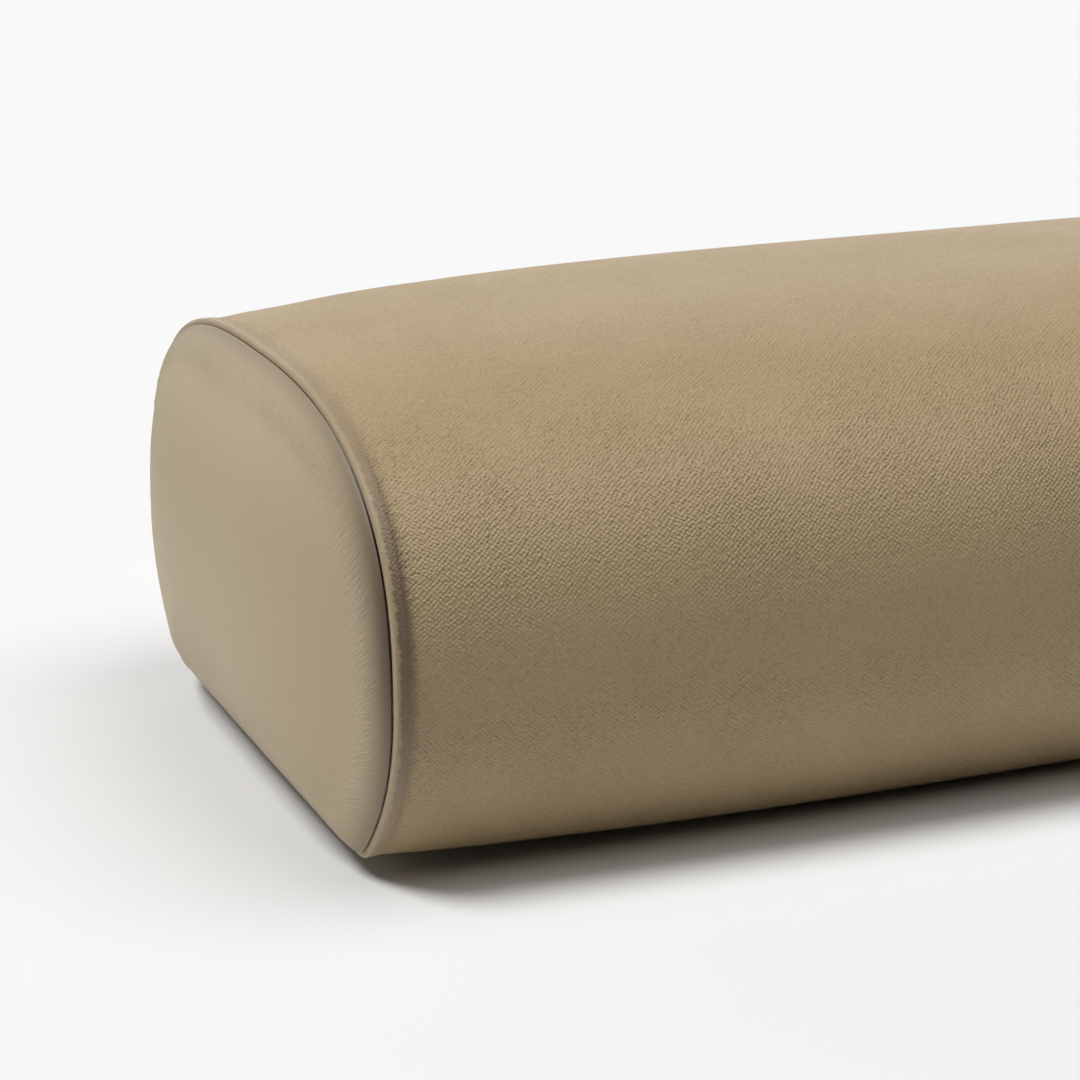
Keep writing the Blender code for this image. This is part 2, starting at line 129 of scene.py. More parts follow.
def outlineLoop():
    # upper half a superellipse, flanks a parabola, the corner a quadratic curve, the base flat;
    # evenly spaced round the loop and eased with a bell-shaped average
    turn = np.linspace(0, math.pi / 2, outline["shoulder"])
    power = 2 / cushion["shoulderFullness"]
    waist = cushion["waistHeight"]
    tuck = cushion["flankTuck"]
    upperY = halfWidth * np.sin(turn) ** power
    upperZ = waist + (seamHeight - waist) * np.cos(turn) ** power
    drop = np.linspace(0, 1, outline["flank"])[1:]
    lowerY = halfWidth - tuck * drop**2
    lowerZ = waist * (1 - drop)
    corner = halfWidth - tuck
    reach = cushion["cornerRadius"] * math.tan(math.atan2(waist, 2 * tuck) / 2)
    kept = np.hypot(lowerY - corner, lowerZ) > reach
    flank = np.column_stack([lowerY[kept], lowerZ[kept]])
    sharp, baseStart = np.array([corner, 0.0]), np.array([corner - reach, 0.0])
    part = np.linspace(0, 1, outline["corner"])[1:, None]
    bend = (1 - part) ** 2 * flank[-1] + 2 * part * (1 - part) * sharp + part**2 * baseStart
    base = np.linspace(baseStart, np.zeros(2), outline["base"])[1:]
    half = np.concatenate([np.column_stack([upperY, upperZ]), flank, bend, base])
    run = np.concatenate([[0], np.cumsum(np.hypot(*np.diff(half, axis=0).T))])
    share = run / run[-1]
    count = outline["loop"]
    u = np.arange(count) / count * 2 - 1
    loop = np.column_stack([np.interp(abs(u) * run[-1], run, half[:, k]) for k in (0, 1)])
    loop[:, 0] *= np.where(u < 0, -1, 1)
    reachSteps = np.arange(-outline["easedOver"], outline["easedOver"] + 1)
    weights = bell(reachSteps * 2 * run[-1] / count, 0, cushion["outlineEasing"] * math.sqrt(2))
    weights /= weights.sum()
    eased = sum(w * np.roll(loop, -k, axis=0) for k, w in zip(reachSteps, weights))
    reach = outline["normalReach"]
    along = np.roll(eased, -reach, axis=0) - np.roll(eased, reach, axis=0)
    along /= np.hypot(*along.T)[:, None]
    marks = {
        "zip": np.interp(-cushion["zipHeight"], -flank[:, 1], share[len(upperY) : len(upperY) + len(flank)]),
        "corner": share[np.argmin(np.hypot(*(half - sharp).T))],
    }
    return run[-1], u, eased, np.column_stack([-along[:, 1], along[:, 0]]), marks


halfPerimeter, loopU, loopPoint, loopNormal, loopMarks = outlineLoop()
zipU, cornerU = loopMarks["zip"], loopMarks["corner"]
baseSeamU = -(cornerU + cushion["baseSeamInset"] / halfPerimeter)


def onOutline(u):
    # y, z and outward normal at u: 0 is the middle of the top, 1 of the base, -1 to 0 or 1 to 2 the front
    table = [*loopPoint.T, *loopNormal.T]
    return [np.interp(u, loopU, column, period=2) for column in table]


def fullness(distance, u):
    # crown * (1 - (1 - distance / run)^3): more crown where the skin faces up,
    # and a shorter run by the zip
    run = cushion["crownRun"] + (cushion["zipRun"] - cushion["crownRun"]) * bell(
        (u - zipU) * halfPerimeter, 0, cushion["zipSpread"]
    )
    upward = onOutline(u)[3]
    crown = cushion["baseCrown"] + (cushion["topCrown"] - cushion["baseCrown"]) * smooth(upward, -0.6, 0.6)
    return crown * (1 - (1 - np.clip(distance / run, 0, 1)) ** 3)


def skin(x, u, extra=0.0):
    # outline point + normal * (lip + fullness + extra), lifted to the base level
    y, z, normalY, normalZ = onOutline(u)
    out = cushion["lip"] + fullness(seamX - abs(x), u) + extra
    return np.stack([x + 0 * u, y + normalY * out, z + normalZ * out + baseLevel], axis=-1)


def seamDraw(distance, u):
    # a rounded nose at the seam, a raised band over the turned-in edge, a step down behind it,
    # strongest half way up the side, and a slow return to the full shape
    place = abs((u + 1) % 2 - 1)
    depth = seam["stepLeast"] + (1 - seam["stepLeast"]) * bell(place, *seam["deepest"])
    depth = depth - seam["baseLess"] * seam["stepLeast"] * smooth(place, *seam["baseEase"])
    share = np.clip(distance / seam["noseRound"], 0, 1)
    groove = seam["grooveDepth"] * (1 - np.sqrt(1 - (1 - share) ** 2))
    nose = seam["noseHeight"] * bell(distance, seam["noseRound"], seam["noseWidth"])
    band = seam["bandHeight"] * (1 - smooth(distance, *seam["step"]))
    dip = seam["dip"] * (smooth(distance, *seam["step"]) - smooth(distance, seam["step"][1], seam["dipEnd"]))
    run = u * halfPerimeter
    short, stray, long = seam["puckerWaves"]
    pucker = np.sin(run / short + 2.1 * np.sin(run / stray)) * np.sin(run / long + 1.3)
    pucker = seam["puckerHeight"] * pucker * bell(distance, *seam["puckerPlace"])
    return nose - groove + depth * (band - dip + pucker)


# meshes
def flatten(grid):
    return np.ascontiguousarray(grid, dtype=np.float32).reshape(-1)


def quadCorners(rows, columns, roundRows=False, roundColumns=False):
    # face (i, j) joins points (i, j), (i, j+1), (i+1, j+1) and (i+1, j);
    # a round side joins its last line to its first
    down, over = np.arange(rows - (not roundRows)), np.arange(columns - (not roundColumns))
    i, j = (index.reshape(-1) for index in np.meshgrid(down, over, indexing="ij"))
    return np.stack([np.stack([i, i, i + 1, i + 1], 1), np.stack([j, j + 1, j + 1, j], 1)], -1)


def quadMesh(name, points, faces, uvMaps):
    mesh = bpy.data.meshes.new(name)
    mesh.vertices.add(points.size // 3)
    mesh.vertices.foreach_set("co", flatten(points))
    mesh.loops.add(faces.size)
    mesh.loops.foreach_set("vertex_index", faces.reshape(-1).astype(np.int32))
    mesh.polygons.add(len(faces))
    mesh.polygons.foreach_set("loop_start", np.arange(0, faces.size, 4, dtype=np.int32))
    for title, uv in uvMaps.items():
        layer = mesh.uv_layers.new(name=title)
        layer.data.foreach_set("uv", flatten(uv))
    mesh.update(calc_edges=True)
    mesh.shade_smooth()
    return mesh


def gridMesh(name, points, roundRows=False, roundColumns=False, uvMaps=None, turned=False):
    # one sheet over a grid of points, each UV map given on the same grid
    rows, columns = points.shape[:2]
    corners = quadCorners(rows, columns, roundRows, roundColumns)
    if turned:
        corners = corners[:, ::-1]
    i, j = corners[..., 0], corners[..., 1]
    cornerMaps = {title: uv[i, j] for title, uv in (uvMaps or {}).items()}
    return quadMesh(name, points, (i % rows) * columns + j % columns, cornerMaps)


def copiesMesh(name, grids):
    # many small closed grids of one size, (copies, rows, columns, 3), as one mesh
    copies, rows, columns = grids.shape[:3]
    corners = quadCorners(rows, columns, roundColumns=True)
    face = corners[..., 0] * columns + corners[..., 1] % columns
    faces = (np.arange(copies)[:, None, None] * rows * columns + face).reshape(-1, 4)
    return tidyMesh(quadMesh(name, grids, faces, {}), outwards=True)


def tidyMesh(mesh, outwards=False, merge=1e-7):
    # merges a pole's points into one, and turns a closed mesh's faces outwards
    shape = bmesh.new()
    shape.from_mesh(mesh)
    bmesh.ops.remove_doubles(shape, verts=shape.verts, dist=merge)
    if outwards:
        bmesh.ops.recalc_face_normals(shape, faces=shape.faces)
    shape.to_mesh(mesh)
    shape.free()
    return mesh


def joinMeshes(name, meshes):
    shape = bmesh.new()
    for mesh in meshes:
        shape.from_mesh(mesh)
        bpy.data.meshes.remove(mesh)
    joined = bpy.data.meshes.new(name)
    shape.to_mesh(joined)
    shape.free()
    joined.shade_smooth()
    return joined


def addPiece(name, mesh, finish, body="bolster", stands=()):
    mesh.materials.append(finish)
    piece = bpy.data.objects.new(name, mesh)
    bpy.context.scene.collection.objects.link(piece)
    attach(piece, body)
    if stands:
        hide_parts(*stands)
    return piece


def giveWall(piece, thickness, offset=-1):
    # offset -1 puts the wall behind the sheet, 1 in front of it
    wall = piece.modifiers.new("wall", "SOLIDIFY")
    wall.thickness = thickness
    wall.offset = offset


# materials
class Wire:
    # a node's output; arithmetic on it adds Math nodes to the same material
    def __init__(self, recipe, socket):
        self.recipe = recipe
        self.socket = socket

    def maths(self, operation, *values):
        return self.recipe.node("Math", {"operation": operation}, dict(enumerate(values)))

    def __add__(self, other):
        return self.maths("ADD", self, other)

    def __radd__(self, other):
        return self.maths("ADD", other, self)

    def __sub__(self, other):
        return self.maths("SUBTRACT", self, other)

    def __rsub__(self, other):
        return self.maths("SUBTRACT", other, self)

    def __mul__(self, other):
        return self.maths("MULTIPLY", self, other)

    def __rmul__(self, other):
        return self.maths("MULTIPLY", other, self)

    def __truediv__(self, other):
        return self.maths("DIVIDE", self, other)

    def __rtruediv__(self, other):
        return self.maths("DIVIDE", other, self)

    def __pow__(self, other):
        return self.maths("POWER", self, other)

    def __rpow__(self, other):
        return self.maths("POWER", other, self)

    def __neg__(self):
        return self.maths("MULTIPLY", self, -1)

    def __abs__(self):
        return self.maths("ABSOLUTE", self)

    def sine(self):
        return self.maths("SINE", self)

    def limited(self):
        return self.recipe.node("Clamp", {}, {"Value": self})

    def lower(self, other):
        return self.maths("MINIMUM", self, other)

    def higher(self, other):
        return self.maths("MAXIMUM", self, other)

    def hump(self, middle, width):
        # 2.718^(-((value - middle) / width)^2)
        share = (self - middle) / width
        return math.e ** (-(share * share))


class Recipe:
    # one material under construction
    def __init__(self, name):
        self.material = bpy.data.materials.new(name)
        self.material.use_nodes = True
        self.tree = self.material.node_tree
        self.tree.nodes.clear()

    def node(self, kind, settings, sockets, output=0):
        made = self.tree.nodes.new("ShaderNode" + kind)
        for key, value in settings.items():
            setattr(made, key, value)
        for key, value in sockets.items():
            if isinstance(value, Wire):
                self.tree.links.new(value.socket, made.inputs[key])
            else:
                made.inputs[key].default_value = value
        return Wire(self, made.outputs[output]) if made.outputs else None

    def uv(self, title):
        return self.node("UVMap", {"uv_map": title}, {})

    def objectPlace(self):
        return self.node("TexCoord", {}, {}, "Object")

    def parts(self, vector):
        return [self.node("SeparateXYZ", {}, {"Vector": vector}, k) for k in range(3)]

    def together(self, x, y, z=0.0):
        return self.node("CombineXYZ", {}, {"X": x, "Y": y, "Z": z})

    def turned(self, vector, turn):
        return self.node("Mapping", {}, {"Vector": vector, "Rotation": turn})

    def noise(self, vector, scale, detail=2.0, roughness=0.5, distortion=0.0):
        sockets = {"Scale": scale, "Detail": detail, "Roughness": roughness, "Distortion": distortion}
        return self.node("TexNoise", {}, {"Vector": vector, **sockets})

    def cells(self, vector, scale, randomness):
        sockets = {"Vector": vector, "Scale": scale, "Randomness": randomness}
        return self.node("TexVoronoi", {"feature": "F1"}, sockets, "Distance")

    def tint(self, share, first, second):
        return self.node("Mix", {"data_type": "RGBA", "blend_type": "MIX"}, {0: share, 6: first, 7: second}, 2)

    def finish(self, sockets, bump=None):
        # the shader, with a height in metres as its bump
        if bump is not None:
            sockets["Normal"] = self.node("Bump", {}, {"Height": bump, "Distance": 1.0, "Strength": 1.0})
        shader = self.node("BsdfPrincipled", {}, sockets)
        self.node("OutputMaterial", {}, {"Surface": shader})
        return self.material


def ease(wire, low, high):
    # smooth() for a wire
    share = ((wire - low) / (high - low)).limited()
    return share * share * (3 - 2 * share)


leather = {
    "base": (0.352, 0.262, 0.138, 1),
    "shade": (0.332, 0.243, 0.124, 1),
    "endBase": (0.368, 0.298, 0.186, 1),  # the end panels: paler and greyer than the body, a painted sheen
    "endShade": (0.352, 0.280, 0.170, 1),
    "crease": (0.205, 0.140, 0.068, 1),
    "lip": (0.300, 0.228, 0.145, 1),
    "shadow": (0.088, 0.058, 0.034, 1),  # painted shade in the seam and on the band beside it
    "roughness": 0.48,
    "pebbleSize": 0.00112,
    "cellSize": 0.00100,
    "rowAngles": (38, -36),
    "wander": ((60.0, 0.0030), (300.0, 0.00085)),  # how the rows of grain stray: places per metre, and how far
    "lineWidth": 0.00054,
    "lineLength": 0.0015,
    "lineAngles": (24, -40),
    "grainHeight": 0.00078,
    "creaseHeight": 0.00050,
    "fineHeight": 0.00011,
}


bodyLook = {
    "colours": ("base", "shade"),
    "grain": 1.0,
    "creaseLean": 0.2,
    "creaseBand": (0.0060, 0.0020),
    "creaseDepth": 1.3,
    "lipShare": 0.70,
    "duller": 0.0,
}
endLook = {
    "colours": ("endBase", "endShade"),
    "grain": 0.16,
    "creaseLean": 0.8,
    "creaseBand": (0.0092, 0.0050),
    "creaseDepth": 1.7,
    "lipShare": 0.25,
    "duller": 0.10,
}


def grainHeight(r, place):
    # small round pebbles, (sin a + sin b) / 4 + 1/2 on two crossing sets of rows that stray with noise,
    # loose round cells, 1 - 1.7 * distance^2, and two families of creases, noise stretched along each
    placeX, placeY, _ = r.parts(place)
    placeX = placeX + (r.noise(place, 30.0, 1.0) - 0.5) * 0.006
    lines = []
    for angle in leather["lineAngles"]:
        turn = math.radians(angle)
        along = placeX * math.cos(turn) + placeY * math.sin(turn)
        across = placeY * math.cos(turn) - placeX * math.sin(turn)
        stretched = r.together(along / leather["lineLength"], across / leather["lineWidth"], angle * 1.7)
        lines.append(r.noise(stretched, 1.0, 1.0, 0.5))
    strays = []
    for seed in (0.0, 7.3):
        shifted = r.together(placeX, placeY, seed)
        strays.append(sum((r.noise(shifted, scale, 1.0) - 0.5) * far for scale, far in leather["wander"]))
    rows = []
    for angle, stray in zip(leather["rowAngles"], strays):
        turn = math.radians(angle)
        across = placeY * math.cos(turn) - placeX * math.sin(turn) + stray
        rows.append((across * (2 * math.pi / leather["pebbleSize"])).sine())
    rowPebble = (rows[0] + rows[1]) * 0.25 + 0.5
    loosePlace = r.together(placeX + strays[0], placeY + strays[1])
    looseCell = r.cells(loosePlace, 1 / leather["cellSize"], 0.85)
    loosePebble = 1 - looseCell * looseCell * 1.7
    return lines[0] * 0.26 + lines[1] * 0.30 + rowPebble * 0.34 + loosePebble * 0.22 + 0.08


def leatherFinish(name, look):
    # the grain, patchy in strength and pressed flat at the seam; creases square to the seam near it;
    # colour that drifts, darker in the hollows, with painted shade in the seam and on the band beside it
    r = Recipe(name)
    place = r.uv("skin")
    arc, distance, _ = r.parts(r.uv("rim"))
    drift = r.noise(place, 9.0, 2.0)
    grained = grainHeight(r, place)
    fine = r.noise(place, 2300.0, 2.0, 0.65)
    patch = (r.noise(place, 26.0, 2.0) * 1.6 - 0.3).limited() * 0.5 + 0.6
    nearSeam = distance.hump(0.0, 0.0042)
    height = grained * leather["grainHeight"] * patch * look["grain"] * (1 - nearSeam * 0.85)
    height = height + fine * leather["fineHeight"] * (0.5 + 0.5 * look["grain"])
    lean = distance * (1100.0 * look["creaseLean"])
    crease = r.noise(r.together(arc * 1100.0 + lean, distance * 260.0, 3.7), 1.0, 2.0, 0.55, 0.2)
    creased = distance.hump(*look["creaseBand"]) * look["creaseDepth"]
    patchy = (r.noise(r.together(arc * 22.0, 0.0, 1.3), 1.0, 1.0) * 3.0 - 0.8).limited()
    height = height + crease * creased * (0.35 + 0.65 * patchy) * leather["creaseHeight"]
    hollow = ((0.86 - grained) * 2.6 * patch * look["grain"]).limited()
    colour = r.tint(drift, *(leather[key] for key in look["colours"]))
    colour = r.tint(hollow * 0.50, colour, leather["crease"])
    colour = r.tint(nearSeam * look["lipShare"], colour, leather["lip"])
    # painted shade in and beside the seam, strongest half way up the side: on the end panels next to the seam,
    # on the body over the band past the nose
    midSide = abs(arc).hump(0.45 * halfPerimeter, 0.15 * halfPerimeter)
    if look is endLook:
        paintedSeamShade = distance.hump(0.0, 0.0068) * (midSide * 0.56 + 0.20) + distance.hump(0.0, 0.0024) * 0.22
    else:
        shadeEdgeDistance = distance + (crease - 0.5) * 0.0030
        paintedSeamShade = ease(shadeEdgeDistance, 0.0009, 0.0022) * (1 - ease(shadeEdgeDistance, 0.0042, 0.0082)) * (midSide * 0.60 + 0.22)
    colour = r.tint(paintedSeamShade.limited(), colour, leather["shadow"])
    roughness = leather["roughness"] + look["duller"] + (fine - 0.5) * 0.06
    roughness = roughness + (drift - 0.5) * 0.08 + hollow * 0.10
    sockets = {"Base Color": colour, "Roughness": roughness.limited(), "Specular IOR Level": 0.5}
    return r.finish(sockets, height)


leatherBody = leatherFinish("grainedLeather", bodyLook)
leatherEnd = leatherFinish("smoothLeather", endLook)
print("leather mixed")

# the filled shape, from a cloth simulation
filling = {
    "around": 96,
    "along": 90,
    "endRings": 10,
    "startShrink": 0.0026,  # the sewn cover starts this much under its full shape
    "shrinkRun": 0.030,
    "pressure": 4.0,
    "steps": 20,
    "quality": 6,
    "mostOut": 0.0016,
    "mostIn": 0.0012,
    "spareCloth": 0.012,
    "share": 0.45,
    "seamRun": (0.004, 0.070),  # where the swelling starts and is whole, from an end seam
    "zipRun": (0.014, 0.040),
    "stiffHalf": 0.016,  # the zip keeps the cover stiff beside it
    "stiffEnd": wrapHigh.x - 0.060,
}


def shrunk(x):
    # how far the start shape lies under the full one: startShrink * smooth(distance from the seam)
    return filling["startShrink"] * smooth(seamX - abs(x), 0.0, filling["shrinkRun"])


def closedBody():
    # the coarse cover: rings of points from seam to seam, each end closed by rings that shrink to its middle
    u = np.arange(filling["around"]) / filling["around"] * 2 - 1
    x = np.linspace(-seamX, seamX, filling["along"])
    gridX, gridU = np.meshgrid(x, u, indexing="ij")
    rings = skin(gridX, gridU, -shrunk(gridX))
    shares = np.linspace(0, 1, filling["endRings"])[1:, None]
    y, z, _, _ = onOutline(u)
    height = endBulge * (1 - (1 - shares) ** cushion["bulgePower"])
    ringZ = z * (1 - shares) + shares * cushion["domeMiddle"] * seamHeight + baseLevel
    ends = []
    for side in (-1, 1):
        ring = [side * (seamX + height) + 0 * u, y * (1 - shares), ringZ]
        ends.append(np.stack(np.broadcast_arrays(*ring), axis=-1))
    return x, u, rings, np.concatenate([ends[0][::-1], rings, ends[1]])


def placeKeys(points):
    # one whole number for each point, from its coordinates in thousandths of a millimetre
    return np.round(points.astype(np.float32) * 1e6).astype(np.int64) @ [1, 10**6 * 7, 10**12 * 3]


def matching(wanted, points):
    # the place of each wanted point among the points, found by their keys
    keys = placeKeys(points)
    order = np.argsort(keys)
    return order[np.searchsorted(keys[order], placeKeys(wanted))]


def swollen():
    # how far the sewn cover stands out of its own start shape, square to the skin, on the coarse grid
    x, u, rings, grid = closedBody()
    mesh = tidyMesh(gridMesh("fillingTest", grid, roundColumns=True), outwards=True)
    cover = bpy.data.objects.new("fillingTest", mesh)
    bpy.context.scene.collection.objects.link(cover)
    start = np.empty(len(mesh.vertices) * 3, np.float32)
    mesh.vertices.foreach_get("co", start)
    start = start.reshape(-1, 3)
    index = matching(rings.reshape(-1, 3), start)
    gridX, gridU = np.meshgrid(x, u, indexing="ij")
    sewn = abs(gridX) > seamX - 1e-4
    stiff = (abs((gridU - zipU) * halfPerimeter) < filling["stiffHalf"]) & (abs(gridX) < filling["stiffEnd"])
    held = cover.vertex_groups.new(name="held")
    held.add(index[(sewn | stiff).reshape(-1)].tolist(), 1.0, "REPLACE")
    cloth = cover.modifiers.new("cloth", "CLOTH")
    cloth.settings.vertex_group_mass = "held"
    cloth.settings.use_pressure = True
    cloth.settings.uniform_pressure_force = filling["pressure"]
    cloth.settings.shrink_min = -filling["spareCloth"]
    cloth.settings.effector_weights.gravity = 0
    cloth.settings.quality = filling["quality"]
    cloth.collision_settings.use_collision = False
    cloth.point_cache.frame_start, cloth.point_cache.frame_end = 1, filling["steps"]
    for step in range(1, filling["steps"] + 1):
        bpy.context.scene.frame_set(step)
    evaluated = cover.evaluated_get(bpy.context.evaluated_depsgraph_get())
    final = np.empty(len(evaluated.data.vertices) * 3, np.float32)
    evaluated.data.vertices.foreach_get("co", final)
    moved = (final.reshape(-1, 3) - start)[index].reshape(gridX.shape + (3,))
    bpy.context.scene.frame_set(1)
    bpy.data.objects.remove(cover)
    _, _, normalY, normalZ = onOutline(gridU)
    out = moved[..., 1] * normalY + moved[..., 2] * normalZ
    out = out - shrunk(gridX)
    out = np.clip(out - out.mean(axis=1, keepdims=True), -filling["mostIn"], filling["mostOut"])
    print("cloth swelled", float(moved.max()), "kept", float(out.min()), float(out.max()))
    return out


def spline(t):
    # the cubic B-spline: (4 - 6t^2 + 3t^3) / 6 up to 1, (2 - t)^3 / 6 up to 2
    t = abs(t)
    return np.where(t < 1, (4 - 6 * t**2 + 3 * t**3) / 6, np.clip(2 - t, 0, 2) ** 3 / 6)


def onGrid(values, x, u):
    # the coarse grid's values at any x and u: the 4 x 4 nearest, blended with cubic B-spline weights
    rows, columns = values.shape
    placeX = np.clip((x + seamX) / (2 * seamX) * (rows - 1), 0, rows - 1)
    placeU = (u + 1) / 2 * columns
    cellX, cellU = np.floor(placeX), np.floor(placeU)
    total = 0.0
    for stepX in range(-1, 3):
        weightX = spline(placeX - cellX - stepX)
        takeX = np.clip(cellX + stepX, 0, rows - 1).astype(int)
        for stepU in range(-1, 3):
            takeU = (cellU + stepU).astype(int) % columns
            total = total + weightX * spline(placeU - cellU - stepU) * values[takeX, takeU]
    return total


# the opening between the cover's edges, over the zip
window = {"half": 0.0046, "closedHalf": 0.0003, "end": seamX - 0.086, "taper": 0.012}
swelling = swollen()


def softSkin(x, u, extra):
    # the pillow's own surface: skin() with the seam's draw and the filling's swelling, never below the floor
    distance = seamX - abs(x)
    fromZip = np.hypot((u - zipU) * halfPerimeter, np.clip(abs(x) - window["end"], 0, None))
    loose = smooth(distance, *filling["seamRun"]) * smooth(fromZip, *filling["zipRun"])
    swell = onGrid(swelling, x + 0 * u, u + 0 * x) * filling["share"] * loose
    points = skin(x, u, seamDraw(distance, u) + swell + extra)
    points[..., 2] = np.maximum(points[..., 2], cushion["floorGap"])
    return points


# the cover
stitchLine = {"fromFold": 0.0024, "sink": 0.00028, "width": 0.0007}
panel = {"rows": 110, "columnWidth": 0.0019, "fill": 0.8}
# how far the rows of points lie from an edge and from an end seam, in millimetres: close together at first
edgeSteps = [0, 0.02, 0.06, 0.12, 0.2, 0.32, 0.48, 0.66, 0.9, 1.2, 1.6, 2.0, 2.4, 2.8, 3.3, 4.0, 5.0]
edgeSteps = np.array(edgeSteps) / 1000
seamSteps = [0, 0.005, 0.02, 0.05, 0.1, 0.17, 0.26, 0.38, 0.52, 0.7, 0.95, 1.3, 1.8, 2.4, 3, 3.6, 4.2, 4.8]
seamSteps = np.array(seamSteps + [5.5, 6.3, 7.2, 8.2, 9.4, 11, 13, 15.5, 18.5, 22, 26, 30]) / 1000


def windowHalf(x):
    # half the opening's width, drawn in past its end by smooth()
    shut = smooth(abs(x), window["end"], window["end"] + window["taper"])
    return (window["half"] + (window["closedHalf"] - window["half"]) * shut) / halfPerimeter


def folded(distance, roundness, drop, stitched):
    # a rounded edge: drop * (1 - sqrt(1 - (1 - distance / roundness)^2)), with a sunk line where it is stitched
    share = np.clip(distance / roundness, 0, 1)
    sunk = stitchLine["sink"] * bell(distance, stitchLine["fromFold"], stitchLine["width"]) * stitched
    return -drop * (1 - np.sqrt(1 - (1 - share) ** 2)) - sunk


def coverPanel(name, lowEdge, highEdge, foldLow, foldHigh, stands):
    # softSkin() over x and u between two edges, with a fold along each;
    # rows lie close together at the seams, columns at the edges
    inner = np.linspace(-seamX + seamSteps[-1], seamX - seamSteps[-1], panel["rows"])[1:-1]
    x = np.concatenate([-seamX + seamSteps, inner, (seamX - seamSteps)[::-1]])[:, None]
    low, high = lowEdge(x), highEdge(x)
    width = (high - low) * halfPerimeter
    shares = np.linspace(0, 1, int(np.max(width) / panel["columnWidth"]))[1:-1]
    middle = edgeSteps[-1] + (width - 2 * edgeSteps[-1]) * shares[None, :]
    fromLow = np.concatenate([edgeSteps + 0 * x, middle, width - edgeSteps[::-1]], axis=1)
    u = low + fromLow / halfPerimeter
    fold = folded(fromLow, *foldLow) + folded(width - fromLow, *foldHigh)
    arc = u * halfPerimeter
    uvMaps = {
        "skin": np.stack([x + 0 * u, arc], -1),
        "rim": np.stack([arc, seamX - abs(x) + 0 * u], -1),
    }
    mesh = gridMesh(name, softSkin(x, u, fold), uvMaps=uvMaps, turned=True)
    piece = addPiece(name, mesh, leatherBody, stands=stands)
    giveWall(piece, cushion["wall"])


seamHalf = cushion["seamGap"] / halfPerimeter
zipFold = (hem["round"], hem["drop"], 1.0)
grooveFold = (hem["grooveRound"], hem["grooveDrop"], 0.0)
coverPanel(
    "coverWrap",
    lambda x: baseSeamU + seamHalf + 0 * x,
    lambda x: zipU - windowHalf(x),
    grooveFold,
    zipFold,
    ["cover_wrap"],
)
coverPanel(
    "coverBase",
    lambda x: zipU + windowHalf(x),
    lambda x: 2 + baseSeamU - seamHalf + 0 * x,
    zipFold,
    grooveFold,
    ["cover_base"],
)

endPanel = {
    "columns": 420,
    "innerRows": 36,
    "halfHeight": 0.085,  # the steps below are shares of this
    "gap": 0.0001,
    "crinkleWaves": (0.0011, 0.0083, 0.0049),
    "crinklePlace": (0.0060, 0.0030),
}
endSteps = [0, 0.05, 0.14, 0.28, 0.46, 0.7, 1, 1.35, 1.75, 2.2, 2.8, 3.5, 4.3, 5.2, 6.2, 7.4, 8.8]
endSteps = np.array(endSteps + [10.5, 12.5, 15, 18]) / 1000 / endPanel["halfHeight"]


def coverEnd(name, side, stands):
    # an end panel: rings that shrink from the seam to the middle, x = bulge * (1 - (1 - s)^power),
    # plus a rolled rim, height * sqrt(1 - (1 - distance / run)^2), that fades away
    u = np.linspace(-1, 1, endPanel["columns"], endpoint=False)[None, :]
    shares = np.concatenate([endSteps, np.linspace(endSteps[-1], 1, endPanel["innerRows"])[1:]])[:, None]
    y, z, normalY, normalZ = onOutline(u)
    rimY, rimZ = y - normalY * seam["rimInset"], z - normalZ * seam["rimInset"]
    middleZ = cushion["domeMiddle"] * seamHeight
    fromRim = shares * np.hypot(rimY, rimZ - middleZ)
    share = np.clip(fromRim / seam["rollRun"], 0, 1)
    roll = seam["rollHeight"] * np.sqrt(1 - (1 - share) ** 2) * (1 - smooth(fromRim, *seam["rollFade"]))
    height = endBulge * (1 - (1 - shares) ** cushion["bulgePower"]) + roll
    arc = u * halfPerimeter
    short, stray, long = endPanel["crinkleWaves"]
    crinkle = np.sin(arc / short + fromRim / short + 1.9 * np.sin(arc / stray)) * np.sin(arc / long + 0.6)
    height = height + seam["puckerHeight"] * crinkle * bell(fromRim, *endPanel["crinklePlace"])
    pointX = side * (seamX + endPanel["gap"] + height)
    pointZ = rimZ * (1 - shares) + middleZ * shares + baseLevel
    points = np.stack([pointX, rimY * (1 - shares), pointZ], axis=-1)
    loopArc = np.linspace(-1, 1, endPanel["columns"] + 1)[None, :] * halfPerimeter
    closing = np.concatenate([points, points[:, :1]], axis=1)
    closingRim = np.concatenate([fromRim, fromRim[:, :1]], axis=1)
    uvMaps = {
        "skin": np.stack([closing[..., 1], closing[..., 2]], -1),
        "rim": np.stack([loopArc + 0 * closingRim, closingRim], -1),
    }
    mesh = tidyMesh(gridMesh(name, points, roundColumns=True, uvMaps=uvMaps, turned=side < 0))
    piece = addPiece(name, mesh, leatherEnd, stands=stands)
    giveWall(piece, cushion["wall"])


coverEnd("coverEndLeft", -1, ["cover_end_left"])
coverEnd("coverEndRight", 1, ["cover_end_right"])
print("cover sewn")

# the zip, in its own frame: a along it, b down the flank, c outwards
hinge = next(joint for joint in frame["joints"] if joint["name"] == "pull_hinge")
zipSizes = {
    "pinHeight": 0.0041,
    "combEnd": 0.2037,
    "toothPitch": 0.0040,
    "cordRadius": 0.00055,
    "cordPlace": (0.00225, -0.00062),
}
zipAcross = np.array(hinge["axis"], dtype=float)
zipOut = np.cross([1.0, 0.0, 0.0], zipAcross)
pinPlace = np.array(hinge["pos_m"])
zipMiddle = pinPlace - zipOut * zipSizes["pinHeight"] - [pinPlace[0], 0, 0]
sliderX = pinPlace[0]


def atZip(points, shift=(0, 0, 0)):
    # zip middle + a * along + b * across + c * outwards
    local = points + np.array(shift)
    return zipMiddle + local[..., :1] * [1.0, 0, 0] + local[..., 1:2] * zipAcross + local[..., 2:] * zipOut


